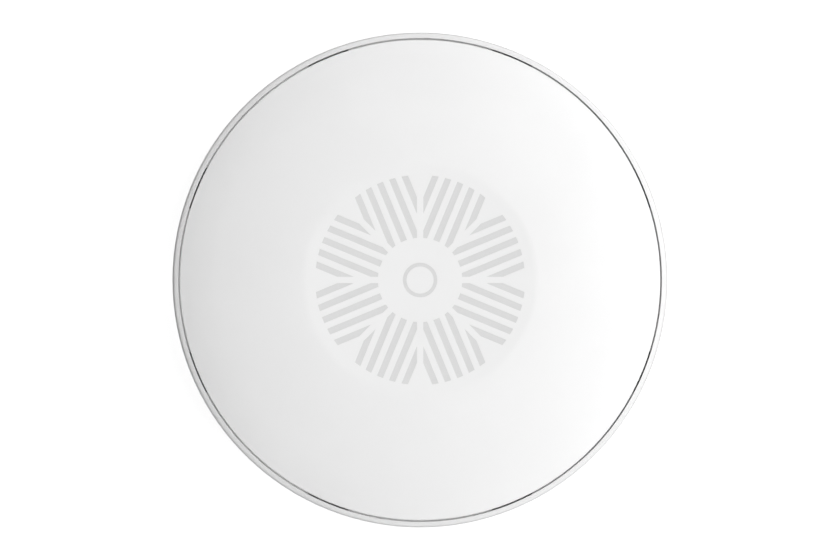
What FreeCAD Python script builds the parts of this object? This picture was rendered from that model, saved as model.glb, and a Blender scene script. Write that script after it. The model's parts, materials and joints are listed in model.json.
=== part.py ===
import FreeCAD, Part
import math
import os

from FreeCAD import Placement, Rotation, Vector

# A round ceiling access point on its twist-lock bracket, in millimetres.
# The origin is the centre of the bracket's ceiling face. +Z points out of the front of the unit,
# and the network jack faces -Y, inside the cable pocket at the back.

# Driving dimensions: the outside
OUTER_RADIUS = 90.0
FRONT_Z = 37.0  # flat disc in the middle of the front cover
RIM_TOP_Z = 29.0
REAR_Z = 1.6  # back of the housing, held off the ceiling by the bracket
WALL = 2.2

# Front cover
COVER_WALL = 1.8
RIM_GAP = 0.5  # parting line between the cover and the rim
COVER_RADIUS = 87.2
MOUTH_RADIUS = COVER_RADIUS + RIM_GAP
DISC_RADIUS = 41.2
BLEND_RUN = 1.6  # soft edge of the flat disc
FIELD_RUN = 32.6  # gently falling part of the dome
FIELD_SLOPES = (4.2, 12.4)  # degrees
SHOULDER_SLOPE = 19.8
COVER_EDGE_RADIUS = 0.5
SKIRT_INNER_RADIUS = 84.85
SKIRT_Z = 27.5
RIB_HEIGHT = 1.2
RIB_THICKNESS = 1.0
RIB_COUNT = 8
RIB_INNER_RADIUS = 12.0

# Snap hooks between the cover and the housing
SNAP_COUNT = 8
SNAP_FIRST_ANGLE = 22.5
SNAP_WINDOW_WIDTH = 10.3  # degrees
SNAP_TAB_WIDTH = 8.4  # degrees
SNAP_TAB_RADIUS = 86.05
SNAP_BARB_RADIUS = 86.8
SNAP_LOW_Z = 18.4
SNAP_BARB_TOP_Z = 20.3
SNAP_BARB_STEP = 0.8  # upright part of the barb, above its ramp
SNAP_WINDOW_RADIUS = 87.95
SNAP_CATCH_RADIUS = 86.25
SNAP_PLAY = 0.2
CATCH_HEIGHT = 2.0

# Decorative stripes: eight sectors, each with straight stripes along its own centreline
STRIPE_WIDTH = 2.3
STRIPE_PITCH = 4.6
STRIPE_DEPTH = 0.2
STRIPE_FIELD_RADIUS = 37.8
STRIPE_HUB_RADIUS = 15.2
STRIPE_SECTORS = 8
STRIPES_EACH_SIDE = 2  # of the middle stripe
LIGHT_RING_RADII = (4.9, 6.2)

# Side ring
RIM_SLOPE = 18.0  # degrees: the rim's top carries on the dome's fall
RIM_EDGE_SLOPE = 60.0  # where the rim's crisp edge runs into its rounder flank
RIM_EDGE_RADIUS = 0.8
RIM_FLANK_RADIUS = 5.0
RIM_STRAIGHT_Z = 23.5
SIDE_INSET = 3.5  # how far the side leans in
SIDE_LOW_Z = 5.0
LEDGE_RADIUS = 85.35
LEDGE_Z = (25.9, 27.4)
SEAM_RADIUS = 80.5
FLANGE_RADIUS = 77.5
FLANGE_Z = (3.9, 6.3)
EAR_Z = (6.1, 13.0)
EAR_RADIUS = 3.5
EAR_WEB = 3.0
EAR_PILOT_TOP_Z = 12.2

# Back plate
PLATE_RADIUS = 80.2
RECESS_RADIUS = 58.0
RECESS_Z = 6.6
CARRIER_TOP_Z = RECESS_Z + WALL
EDGE_BREAK = 0.25  # small chamfer round the openings of the back
VENT_RADII = (63.5, 75.5)
VENT_WIDTH = 2.2
VENT_ANGLES = [middle + step for middle in (0, 90, 180) for step in range(-25, 26, 5)]
FOOT_RADIUS = 5.0
FOOT_CIRCLE = 71.0
FOOT_Z = (0.4, 2.2)
FOOT_ROUNDING = 0.5
SEAT_PLAY = 0.2  # round a foot or a screw's head
PLATE_RIB_THICKNESS = 1.2
PLATE_RIB_OFFSET = 15.0  # degrees, either side of a screw
HOUSING_BOSS_TOP_Z = 6.0
HOUSING_SCREW_SEAT_Z = 3.9
QUARTER_ANGLES = (45, 135, 225, 315)

# Cable tray: the pocket behind the unit, with the jack in its inner wall
POCKET_HALF_WIDTH = 22.0
POCKET_Y = (-70.0, -34.0)
POCKET_ROOF_Z = 22.6
POCKET_CORNER = 1.0
TRAY_CORNER = 2.0
EXIT_HALF_WIDTH = 4.2
EXIT_TOP_Z = 9.0
TRAY_EAR_Z = (20.6, 22.2)
TRAY_PLAY = 0.15
CHANNEL_START_Y = -80.0
CHANNEL_REACH = 4.0  # how far the channel runs on over the ring's flange
CHANNEL_STEP = 0.1  # above the flange
LABEL_X = (-24.0, 24.0)
LABEL_Y = (13.0, 38.0)
LABEL_THICKNESS = 0.15
LABEL_CORNER = 2.0

# Twist lock
LUG_WIDTH = 22.0  # degrees
HOUSING_LUG_RADIUS = 55.0
HOUSING_LUG_TOP_Z = 3.6
BRACKET_RADIUS = 53.4
BRACKET_PLATE = 2.2
BRACKET_RIM_WIDTH = 2.2
BRACKET_LUG_RADIUS = 57.4
BRACKET_LUG_Z = (3.9, 5.7)
LUG_STOP_WIDTH = 2.8  # degrees
LUG_STOP_PLAY = 0.4  # degrees
UNLOCK_TURN = 24.0  # degrees
DETENT_ANGLE = 102.0
DETENT_CIRCLE = 44.5
NUB_RADIUS = 1.6
NUB_TOP_Z = 7.0
NUB_ROUNDING = 0.6
GROOVE_DEPTH = 0.6
GROOVE_PLAY = 0.3
FINGER_START_ANGLE = 72.0
FINGER_RADII = (41.6, 47.4)
FINGER_SLOT_WIDTH = 1.0
FINGER_TIP_REACH = 4.0  # degrees past the nub
FINGER_TIP_SLOT = 1.4  # degrees
CABLE_HOLE_RADIUS = 16.0
BRACKET_HOLE_SPACING = 60.0
BRACKET_HOLE_RADIUS = 2.25
BRACKET_SLOT_RADIUS = 2.0
BRACKET_SLOT_LENGTH = 10.0
BRACKET_RIB_HEIGHT = 1.6
BRACKET_RIB_THICKNESS = 1.2
BRACKET_RIB_ANGLES = (20, 66, 112, 160, 200, 340)
BRACKET_BOSS_RADIUS = 5.2

# Main board
BOARD_Z = (22.2, 23.8)
BOARD_RADIUS = 62.0
BOARD_CLEARANCE = 0.5
PLATE_POSTS = [(55.0, 0.0), (-55.0, 0.0), (0.0, 55.0)]
TRAY_POSTS = [(31.5, -45.0), (-31.5, -45.0)]
HEAT_SINK_POSTS = [(30.0, 8.0), (-30.0, 8.0), (30.0, 44.0), (-30.0, 44.0)]
POST_RADIUS = 3.2
SCREW_RADIUS = 1.2
PILOT_RADIUS = 1.25  # what a screw bites into
SCREW_HOLE_RADIUS = 1.4  # what a screw passes through
SCREW_HEAD_RADIUS = 2.4
SCREW_HEAD_ROUNDING = 0.6
CROSS_SIZE = (2.6, 0.5)  # of the recess in a screw's head
CROSS_DEPTH = 0.9
SCREW_HEAD_HEIGHT = 1.6
SCREW_LENGTH = 8.0

# Heat sink, processor and radios
HEAT_SINK_X = (-34.0, 34.0)
HEAT_SINK_Y = (4.0, 48.0)
HEAT_SINK_Z = (17.2, 19.2)
FIN_LOW_Z = 10.0
FIN_COUNT = 17
FIN_THICKNESS = 1.2
HEAT_SINK_BOSS_RADIUS = 2.7
HEAT_SINK_PILOT_Z = 15.0
CAN_WALL = 0.25
CAN_CORNER = 0.8
# A soldered part is (centre, size, height off the board)
PROCESSOR_CAN = ((0.0, 26.0), (54.0, 26.0), 2.2)
PROCESSOR = ((0.0, 26.0), (17.0, 17.0), 1.2)
PROCESSOR_PAD_SIZE = (15.0, 15.0)
HEAT_SINK_PAD_SIZE = (40.0, 22.0)
MEMORY_CHIP = ((18.5, 26.0), (9.0, 13.0), 1.1)
FLASH_CHIP = ((-18.5, 26.0), (8.0, 6.0), 1.5)
RADIO_CANS = {"2g": (-30.0, 26.0), "5g": (30.0, 26.0)}
RADIO_CAN_SIZE = (26.0, 20.0)
RADIO_CAN_HEIGHT = 2.4
RADIO_CHIP_SIZE = (9.0, 9.0)
RADIO_CHIP_OFFSET = 4.0
AMPLIFIER_SIZE = (4.0, 4.0)
AMPLIFIER_OFFSET = (7.0, 5.0)
RADIO_CHIP_HEIGHT = 0.9

# Network transformer, power conversion and small parts
LAN_TRANSFORMER = ((0, -7), (15, 8), 5.8)
POWER_CHIPS = [
    ((-40, -38), (6.5, 5.2), 1.4),
    ((-49, -26), (5.2, 6.5), 1.4),
    ((24, -18), (5, 5), 1.1),
    ((35, -18), (5, 5), 1.1),
]
CHIP_LEADS = [(12, 1.1), (2, 4.0), (2, 3.2), (4, 1.1), (4, 1.1)]  # on each side, and their pitch
CHIP_STANDOFF = 0.1
CHIP_LEAD_WIDTH = 0.4
CHIP_LEAD_THICKNESS = 0.2
CHIP_LEAD_KNEE = 0.7  # from the chip's side to the outside of the bend
CHIP_LEAD_TOE = 1.3
TRANSFORMER_CENTRE = (-34.0, -10.0)
CORE_SIZE = (15.0, 8.0)
CORE_HEIGHT = (1.2, 10.6)  # heights are above the board, from low to high
CORE_THICKNESS = (2.2, 2.0)  # outer legs, yokes
CORE_LEG_WIDTH = 3.4
WINDING_SIZE = (10.2, 13.0)
WINDING_HEIGHT = (3.4, 8.4)
WINDING_CORNER = 1.0
BOBBIN_PLAY = 0.1
BOBBIN_FOOT = ((13.0, 3.2), 6.6, 3.2)  # size, distance from the middle, height
BOBBIN_CHEEK_SIZE = (10.2, 1.6)
BOBBIN_CHEEK_OFFSET = 7.4
BOBBIN_CHEEK_HEIGHT = (3.0, 9.0)
CAPACITORS = [(-19.0, -25.5), (-29.0, -25.5), (-17.5, -15.5)]
CAPACITOR_RADIUS = 4.0
CAPACITOR_HEIGHT = (1.0, 10.2)
CAPACITOR_GROOVE_HEIGHT = (2.4, 3.2)
CAPACITOR_GROOVE_DEPTH = 0.3
CAPACITOR_ROUNDING = 0.5
CAPACITOR_BASE = ((8.3, 8.3), 1.0)
INDUCTORS = [((24, -8), (7, 7)), ((35, -8), (7, 7)), ((-39, -28), (8.5, 7.5))]
INDUCTOR_HEIGHT = 4.2
SOLDERED_CORNER = 1.2
SMALL_PART_SIZE = (1.6, 0.8)
SMALL_CAPACITOR_HEIGHT = 0.8
SMALL_RESISTOR_HEIGHT = 0.45
# A grid is (columns, rows, first centre, step)
FRONT_CAPACITOR_GRIDS = [(7, 2, (-12, 18), (4, 6)), (2, 4, (-52, 8), (104, 2.6))]
BACK_CAPACITOR_GRIDS = [(6, 2, (17.2, -22.8), (3.2, -2.4)), (2, 3, (42, -22), (3, 5))]
FRONT_RESISTOR_GRIDS = [(7, 1, (-12, 21), (4, 0)), (5, 2, (-10, -14), (5, 4)), (3, 2, (34, -20), (4, 3))]
BACK_RESISTOR_GRIDS = [(3, 3, (-52, 10), (3.2, 3)), (2, 2, (40, -32), (4, 3))]
CRYSTALS = [(-10, 30), (10, 30), (0, 36)]
CRYSTAL_SIZE = (3.2, 2.5)
CRYSTAL_HEIGHT = 0.8
CRYSTAL_CORNER = 0.3
HEADER_CENTRE = (22.0, -22.0)
HEADER_SIZE = (10.2, 2.5)
HEADER_HEIGHT = 2.5
HEADER_PINS = 4
HEADER_PITCH = 2.54
PIN_HALF_WIDTH = 0.32
PIN_HEIGHT = 6.0
PIN_PLAY = 0.02

# Jack
JACK_HALF_WIDTH = 8.0
JACK_Y = (-34.2, -12.9)
JACK_Z = (9.0, BOARD_Z[0])
JACK_SHELL = 0.25
PORT_HALF_WIDTH = 5.95
PORT_Z = (11.4, 18.3)
PORT_BACK_Y = -19.7
LATCH_HALF_WIDTH = 3.2
LATCH_LOW_Z = 9.8
CONTACT_COUNT = 8
CONTACT_PITCH = 1.02
CONTACT_WIDTH = 0.36
CONTACT_ROOT_Y = (-31.0, -30.6)
CONTACT_ROOT_HEIGHT = 1.6
CONTACT_TIP_Y = -22.6
CONTACT_TIP_DROP = 2.25
CONTACT_THICKNESS = 0.35
CONTACT_PLAY = 0.1
JACK_PLAY = 0.05
JACK_HOLE_PLAY = 0.3
JACK_PIPE_X = 5.6
JACK_PIPE_HALF_WIDTH = 1.3
JACK_PIPE_LENGTH = 6.0
JACK_PIPE_INSET = 0.5
JACK_PIPE_PLAY = 0.02

# Reset button
RESET_X = 15.0
RESET_Z = 17.6
RESET_CAP_RADIUS = 1.6
RESET_HOLE_RADIUS = 1.75
RESET_CAP_ROUNDING = 0.3
RESET_CAP_REACH = 0.4  # how far the cap stands into the pocket
RESET_FLANGE_RADIUS = 2.6
RESET_FLANGE_Y = (-31.7, -31.3)
SWITCH_HALF_WIDTH = 3.2
SWITCH_Y = (-30.9, -27.3)
SWITCH_LOW_Z = 14.4
SWITCH_CORNER = 0.3
SWITCH_BORE_DEPTH = 2.6
PLUNGER_RADIUS = 1.0
PLUNGER_DEPTH = 1.9
PLUNGER_CLEARANCE = 0.05

# Antennas, sockets and coaxial leads
ANTENNA_CIRCLE = 73.0
ANTENNA_Z = (24.0, 24.8)
ANTENNA_SIZES = {"2g": (35.0, 12.0, 14.0), "5g": (27.0, 11.0, 10.0)}  # length, width, half hole spacing
ANTENNAS = {
    "antenna_2g_upper": (135, "2g"),
    "antenna_2g_lower": (225, "2g"),
    "antenna_5g_upper": (45, "5g"),
    "antenna_5g_lower": (315, "5g"),
}
ANTENNA_CORNER = 1.0
COPPER = 0.05
COPPER_WIDTH = 1.8
COPPER_EDGE = 1.6  # from the board's outer edge
COPPER_TAIL_EDGE = 3.4  # from its inner edge
COPPER_STEM_EDGE = 1.2
COPPER_FEED_GAP = 0.8
COPPER_END_GAP = 2.2  # from the pins
ANTENNA_POST_RADIUS = 2.0
ANTENNA_PIN_RADIUS = 1.0
ANTENNA_PIN_PLAY = 0.1
ANTENNA_STAKE_HEIGHT = 0.6  # of the melted end of a pin, above the board
LEAD_RADIUS = 0.565
LEAD_Z = 25.45
SOCKET_X = 48.0
UPPER_SOCKET_Y = 30.0
LOWER_SOCKET_Y = 16.0
SOCKET_BASE = ((3.0, 2.6), 0.35)
SOCKET_RADII = (0.5, 1.0)
SOCKET_PIN_RADIUS = 0.2
SOCKET_HEIGHT = 1.1
PLUG_RADII = (1.05, 1.6)
PLUG_HEIGHTS = (0.45, 2.4)  # above the board
PLUG_NECK_HALF_SIZE = (0.8, 0.7)
PLUG_REACH = 4.1  # from the plug's centre to the end of its crimp
UPPER_ROUTE = [(50.2, 50.2), (47.6, 46.6), (46.9, 42.6), (48.0, 38.2), (48.0, 34.1)]
LOWER_ROUTE = [
    (50.2, -50.2),
    (46.6, -46.0),
    (43.6, -39.4),
    (42.8, -29.0),
    (43.8, -17.5),
    (46.6, -6.5),
    (48.0, 3.0),
    (48.0, 11.9),
]
CLIP_CENTRE = (43.3, -23.25)
CLIP_SIZE = (3.4, 3.0)
CLIP_WALL = 0.9  # above the lead's axis
CLIP_CORNER = 0.4
CLIP_PLAY = 0.2
CLIP_SLOT_WIDTH = 1.0

# Status light
LED_TOP_Z = 25.0
PIPE_RADIUS = 2.5
PIPE_Z = (25.8, FRONT_Z - 1.1)
PIPE_FLANGE_RADIUS = 3.8
BOSS_RADII = (2.6, 4.0)
BOSS_LOW_Z = 26.6
LED_SIZE = (3.2, 2.8)
PIPE_FLANGE_GAP = 0.1
GASKET_RADII = (2.7, 4.6)

OVERLAP = 0.3  # how far fused and cutting shapes run past each other
UP = Vector(0, 0, 1)


# Basic shapes


def box(x, y, z):
    """A box from three (low, high) pairs."""
    return Part.makeBox(x[1] - x[0], y[1] - y[0], z[1] - z[0], Vector(x[0], y[0], z[0]))


def block(centre, size, z):
    """A box centred on a point of the XY plane."""
    x_half, y_half = size[0] / 2, size[1] / 2
    return box((centre[0] - x_half, centre[0] + x_half), (centre[1] - y_half, centre[1] + y_half), z)


def cylinder(radius, z, centre=(0, 0)):
    return Part.makeCylinder(radius, z[1] - z[0], Vector(centre[0], centre[1], z[0]))


def ring(inner, outer, z, centre=(0, 0)):
    return cylinder(outer, z, centre).cut(cylinder(inner, z, centre))


def rod_along_y(radius, x, y, z):
    """A cylinder along Y, from y[0] to y[1]."""
    return Part.makeCylinder(radius, y[1] - y[0], Vector(x, y[0], z), Vector(0, 1, 0))


def polar(radius, degrees):
    angle = math.radians(degrees)
    return radius * math.cos(angle), radius * math.sin(angle)


def turned(shape, degrees):
    """A copy of the shape, turned about the unit's axis."""
    copy = shape.copy()
    copy.rotate(Vector(), UP, degrees)
    return copy


def mirrored_x(points):
    return [(-x, y) for x, y in points]


def rounded(shape, radius, upright=True):
    """Rounds a box's upright edges, or else all the edges of its top face."""
    if upright:
        edges = [e for e in shape.Edges if abs(e.tangentAt(e.FirstParameter).z) > 0.99]
    else:
        top = shape.BoundBox.ZMax
        edges = [e for e in shape.Edges if e.BoundBox.ZMin > top - 1e-6]
    return shape.makeFillet(radius, edges)


def edges_broken(shape, z, size=EDGE_BREAK):
    """Chamfers every edge that lies in one level plane."""
    flat = [e for e in shape.Edges if abs(e.BoundBox.ZMin - z) + abs(e.BoundBox.ZMax - z) < 1e-5]
    return shape.makeChamfer(size, flat)


def prism_along_x(points, x):
    """A (y, z) outline carried from x[0] to x[1]."""
    corners = [Vector(x[0], y, z) for y, z in points]
    face = Part.Face(Part.makePolygon(corners + corners[:1]))
    return face.extrude(Vector(x[1] - x[0], 0, 0))


def prism_along_z(points, z):
    corners = [Vector(x, y, z[0]) for x, y in points]
    face = Part.Face(Part.makePolygon(corners + corners[:1]))
    return face.extrude(Vector(0, 0, z[1] - z[0]))


def swept(points, middle, width):
    """An (r, z) outline turned about the axis through width degrees, centred on the middle angle."""
    corners = [Vector(r, 0, z) for r, z in points]
    solid = Part.Face(Part.makePolygon(corners + corners[:1])).revolve(Vector(), UP, width)
    return turned(solid, middle - width / 2)


def sector(inner, outer, z, middle, width):
    return swept([(inner, z[0]), (outer, z[0]), (outer, z[1]), (inner, z[1])], middle, width)


def fused(shapes):
    return shapes[0].multiFuse(shapes[1:]).removeSplitter()


# Round outlines: an arc is (centre r, centre z, radius, first slope, last slope).
# A slope is in degrees below level, walking outwards: 0 is level and 90 is straight down.


def arc_point(arc, slope, inset=0.0):
    angle = math.radians(slope)
    reach = arc[2] - inset
    return arc[0] + reach * math.sin(angle), arc[1] + reach * math.cos(angle)


def arc_from(start, slopes, radius):
    """The arc of that radius that leaves start at the first slope."""
    angle = math.radians(slopes[0])
    centre = (start[0] - radius * math.sin(angle), start[1] - radius * math.cos(angle))
    return (*centre, radius, *slopes)


def arc_over(start, slopes, run):
    """The arc that leaves start at the first slope and reaches the last one after a run outwards."""
    low, high = (math.sin(math.radians(s)) for s in slopes)
    return arc_from(start, slopes, run / (high - low))


def arc_stops(arc, inset=0.0, backwards=False):
    """An arc's first, middle and last points, moved inwards by the inset."""
    slopes = [arc[3], (arc[3] + arc[4]) / 2, arc[4]]
    if backwards:
        slopes.reverse()
    return [arc_point(arc, s, inset) for s in slopes]


def spun(*stops):
    """Turns a closed outline about the axis. A stop is an (r, z) point or an arc's three points."""
    edges = []
    here = None
    for stop in stops + (stops[0],):
        points = stop if isinstance(stop, list) else [stop]
        points = [Vector(r, 0, z) for r, z in points]
        if here is not None and here.distanceToPoint(points[0]) > 1e-7:
            edges.append(Part.LineSegment(here, points[0]).toShape())
        if len(points) == 3:
            edges.append(Part.Arc(*points).toShape())
        here = points[-1]
    return Part.Face(Part.Wire(edges)).revolve(Vector(), UP, 360)


def dome_arcs():
    """The cover's outer outline outside its flat disc: soft edge, field, shoulder and rounded rim."""
    low, high = FIELD_SLOPES
    blend = arc_over((DISC_RADIUS, FRONT_Z), (0, low), BLEND_RUN)
    field = arc_over(arc_point(blend, low), (low, high), FIELD_RUN)
    start = arc_point(field, high)
    edge_run = COVER_EDGE_RADIUS * (1 - math.sin(math.radians(SHOULDER_SLOPE)))
    shoulder = arc_over(start, (high, SHOULDER_SLOPE), COVER_RADIUS - edge_run - start[0])
    edge = arc_from(arc_point(shoulder, SHOULDER_SLOPE), (SHOULDER_SLOPE, 90), COVER_EDGE_RADIUS)
    return blend, field, shoulder, edge


def cover_shell(thickness, low_z):
    """The cover's dome and skirt, with no hooks."""
    blend, field, shoulder, edge = dome_arcs()
    reach = shoulder[2] - thickness
    last_slope = math.degrees(math.asin((SKIRT_INNER_RADIUS - shoulder[0]) / reach))
    inner_shoulder = (*shoulder[:4], last_slope)
    return spun(
        (0, FRONT_Z),
        arc_stops(blend),
        arc_stops(field),
        arc_stops(shoulder),
        arc_stops(edge),
        (COVER_RADIUS, low_z),
        (SKIRT_INNER_RADIUS, low_z),
        arc_stops(inner_shoulder, thickness, True),
        arc_stops(field, thickness, True),
        arc_stops(blend, thickness, True),
        (0, FRONT_Z - thickness),
    )


def snap_angles():
    return [SNAP_FIRST_ANGLE + i * 360 / SNAP_COUNT for i in range(SNAP_COUNT)]


# Front cover and its stripes


def snap_tab(angle):
    """One hook: a flat tab under the skirt with a ramped barb at its foot."""
    tab = sector(SKIRT_INNER_RADIUS, SNAP_TAB_RADIUS, (SNAP_LOW_Z, SKIRT_Z + OVERLAP), angle, SNAP_TAB_WIDTH)
    barb = swept(
        [
            (SNAP_TAB_RADIUS - OVERLAP, SNAP_LOW_Z),
            (SNAP_TAB_RADIUS, SNAP_LOW_Z),
            (SNAP_BARB_RADIUS, SNAP_BARB_TOP_Z - SNAP_BARB_STEP),
            (SNAP_BARB_RADIUS, SNAP_BARB_TOP_Z),
            (SNAP_TAB_RADIUS - OVERLAP, SNAP_BARB_TOP_Z),
        ],
        angle,
        SNAP_TAB_WIDTH,
    )
    return tab.fuse(barb)


def cover_ribs():
    """Radial ribs under the dome, cut from a thicker shell."""
    thick = cover_shell(COVER_WALL + RIB_HEIGHT, SKIRT_Z)
    half = RIB_THICKNESS / 2
    x = (RIB_INNER_RADIUS, SKIRT_INNER_RADIUS + OVERLAP)
    bar = box(x, (-half, half), (SKIRT_Z, FRONT_Z - COVER_WALL / 2))
    return [thick.common(turned(bar, i * 360 / RIB_COUNT)) for i in range(RIB_COUNT)]


def front_cover():
    boss = ring(*BOSS_RADII, (BOSS_LOW_Z, FRONT_Z - COVER_WALL / 2))
    tabs = [snap_tab(angle) for angle in snap_angles()]
    body = fused([cover_shell(COVER_WALL, SKIRT_Z), boss, *cover_ribs(), *tabs])
    window = cylinder(BOSS_RADII[0], (BOSS_LOW_Z, PIPE_Z[1] + 0.1))
    return [body.cut(Part.makeCompound([window, *stripe_inlay()]))]


def hatched_sector():
    """The stripes of one sector centred on +X."""
    half_angle = math.radians(180 / STRIPE_SECTORS)
    gutter = (STRIPE_PITCH - STRIPE_WIDTH) / 2
    apex = gutter / math.sin(half_angle)
    reach = STRIPE_FIELD_RADIUS + 1
    half_width = (reach - apex) * math.tan(half_angle)
    depth = (FRONT_Z - STRIPE_DEPTH, FRONT_Z)
    wedge = prism_along_z([(apex, 0), (reach, -half_width), (reach, half_width)], depth)
    field = wedge.common(ring(STRIPE_HUB_RADIUS, STRIPE_FIELD_RADIUS, depth))
    places = [i * STRIPE_PITCH for i in range(-STRIPES_EACH_SIDE, STRIPES_EACH_SIDE + 1)]
    bars = [block((reach / 2, y), (reach, STRIPE_WIDTH), depth) for y in places]
    return [solid for bar in bars for solid in field.common(bar).Solids]


def stripe_inlay():
    step = 360 / STRIPE_SECTORS
    sector_stripes = hatched_sector()
    stripes = [turned(s, (i + 0.5) * step) for i in range(STRIPE_SECTORS) for s in sector_stripes]
    return stripes + [ring(*LIGHT_RING_RADII, (FRONT_Z - STRIPE_DEPTH, FRONT_Z))]


# Side ring


def rim_arcs():
    """The rim's outer outline, beyond the straight slope of its top: crisp edge and rounder flank."""
    top, middle = (math.radians(slope) for slope in (RIM_SLOPE, RIM_EDGE_SLOPE))
    edge_run = RIM_EDGE_RADIUS * (math.sin(middle) - math.sin(top))
    flank_run = RIM_FLANK_RADIUS * (1 - math.sin(middle))
    slope_run = OUTER_RADIUS - MOUTH_RADIUS - edge_run - flank_run
    start = (MOUTH_RADIUS + slope_run, RIM_TOP_Z - slope_run * math.tan(top))
    edge = arc_from(start, (RIM_SLOPE, RIM_EDGE_SLOPE), RIM_EDGE_RADIUS)
    flank = arc_from(arc_point(edge, RIM_EDGE_SLOPE), (RIM_EDGE_SLOPE, 90), RIM_FLANK_RADIUS)
    return edge, flank


def side_arcs():
    """The ring's outer outline below the rim: leaning side and rounded foot."""
    drop = RIM_STRAIGHT_Z - SIDE_LOW_Z
    radius = (drop**2 + SIDE_INSET**2) / (2 * SIDE_INSET)
    last_slope = 90 + math.degrees(math.asin(drop / radius))
    side = arc_from((OUTER_RADIUS, RIM_STRAIGHT_Z), (90, last_slope), radius)
    foot_radius = (SIDE_LOW_Z - REAR_Z) / (1 + math.cos(math.radians(last_slope)))
    foot = arc_from(arc_point(side, last_slope), (last_slope, 180), foot_radius)
    return side, foot


def housing_core(inset):
    """The space inside the ring's outer surface, shrunk by an inset, up to the ledge."""
    side, foot = side_arcs()
    return spun(
        (0, LEDGE_Z[0]),
        (arc_point(side, 90, inset)[0], LEDGE_Z[0]),
        arc_stops(side, inset),
        arc_stops(foot, inset),
        (0, REAR_Z + inset),
    )


def ring_wall():
    """The leaning wall and rim, with the windowed ledge that the cover's skirt sits on."""
    arcs = [arc_stops(arc) for arc in rim_arcs() + side_arcs()]
    peak = RIM_TOP_Z + math.tan(math.radians(RIM_SLOPE))
    outside = spun((0, peak), (MOUTH_RADIUS - 1, peak), *arcs, (0, REAR_Z))
    mouth = cylinder(MOUTH_RADIUS, (LEDGE_Z[1], peak + 1))
    throat = cylinder(LEDGE_RADIUS, (LEDGE_Z[0] - OVERLAP, LEDGE_Z[1] + OVERLAP))
    back_opening = cylinder(SEAM_RADIUS, (REAR_Z - 1, REAR_Z + WALL + OVERLAP))
    window_z = (LEDGE_Z[0] - 1, LEDGE_Z[1])
    windows = [
        sector(LEDGE_RADIUS - 1, SNAP_WINDOW_RADIUS, window_z, angle, SNAP_WINDOW_WIDTH)
        for angle in snap_angles()
    ]
    return outside.cut(fused([housing_core(WALL), throat, mouth, back_opening, *windows]))


def ring_catches():
    """What the cover's hooks catch under, on the inside of the wall."""
    z = (SNAP_BARB_TOP_Z + SNAP_PLAY, SNAP_BARB_TOP_Z + CATCH_HEIGHT)
    outer = OUTER_RADIUS - WALL + OVERLAP
    return [sector(SNAP_CATCH_RADIUS, outer, z, angle, SNAP_TAB_WIDTH) for angle in snap_angles()]


def ring_ears():
    """Webs that carry the screws of the back plate."""
    core = housing_core(WALL / 2)
    web = box((FOOT_CIRCLE, OUTER_RADIUS), (-EAR_WEB / 2, EAR_WEB / 2), EAR_Z).common(core)
    ear = web.fuse(cylinder(EAR_RADIUS, EAR_Z, (FOOT_CIRCLE, 0)))
    return [turned(ear, angle) for angle in QUARTER_ANGLES]


def side_ring():
    flange = ring(FLANGE_RADIUS, OUTER_RADIUS, FLANGE_Z).common(housing_core(WALL / 2))
    solid = fused([ring_wall(), flange, *ring_catches(), *ring_ears()])
    pilot_z = (EAR_Z[0] - 1, EAR_PILOT_TOP_Z)
    pilots = [cylinder(PILOT_RADIUS, pilot_z, polar(FOOT_CIRCLE, angle)) for angle in QUARTER_ANGLES]
    flange_gap = tray_cut_out((REAR_Z + WALL, FLANGE_Z[1] + 1))
    return [edges_broken(solid.cut(Part.makeCompound([cable_exit(), flange_gap, *pilots])), REAR_Z)]


# Back plate


def vent(angle):
    """A radial slot with round ends through the plate."""
    z = (REAR_Z - 1, REAR_Z + WALL + 1)
    half = VENT_WIDTH / 2
    inner, outer = VENT_RADII
    slot = box((inner + half, outer - half), (-half, half), z)
    ends = [cylinder(half, z, (inner + half, 0)), cylinder(half, z, (outer - half, 0))]
    return turned(slot.multiFuse(ends), angle)


def antenna_placement(angle):
    """Carries a shape from the +X axis, at the antennas' circle, round to an angle."""
    x, y = polar(ANTENNA_CIRCLE, angle)
    return Placement(Vector(x, y, 0), Rotation(UP, angle))


def antenna_posts(angle, kind):
    """Two posts under an antenna board, each with a pin that the board is staked to."""
    half_spacing = ANTENNA_SIZES[kind][2]
    stake_z = ANTENNA_Z[1] + ANTENNA_STAKE_HEIGHT
    posts = []
    for y in (-half_spacing, half_spacing):
        posts.append(cylinder(ANTENNA_POST_RADIUS, (REAR_Z + WALL - OVERLAP, ANTENNA_Z[0]), (0, y)))
        posts.append(cylinder(ANTENNA_PIN_RADIUS, (ANTENNA_Z[0] - OVERLAP, stake_z), (0, y)))
    for post in posts:
        post.Placement = antenna_placement(angle).multiply(post.Placement)
    return posts


def plate_ribs():
    """Upright ribs outside the recess wall."""
    half = PLATE_RIB_THICKNESS / 2
    z = (REAR_Z + WALL - OVERLAP, HOUSING_BOSS_TOP_Z)
    bar = box((RECESS_RADIUS + WALL / 2, FLANGE_RADIUS - 1), (-half, half), z)
    angles = [angle + side * PLATE_RIB_OFFSET for angle in QUARTER_ANGLES for side in (-1, 1)]
    return [turned(bar, angle) for angle in angles]


def plate_lugs():
    """The twist lock's inward lugs, flush with the back."""
    z = (REAR_Z, HOUSING_LUG_TOP_Z)
    outer = RECESS_RADIUS + OVERLAP
    return [sector(HOUSING_LUG_RADIUS, outer, z, angle, LUG_WIDTH) for angle in QUARTER_ANGLES]


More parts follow.
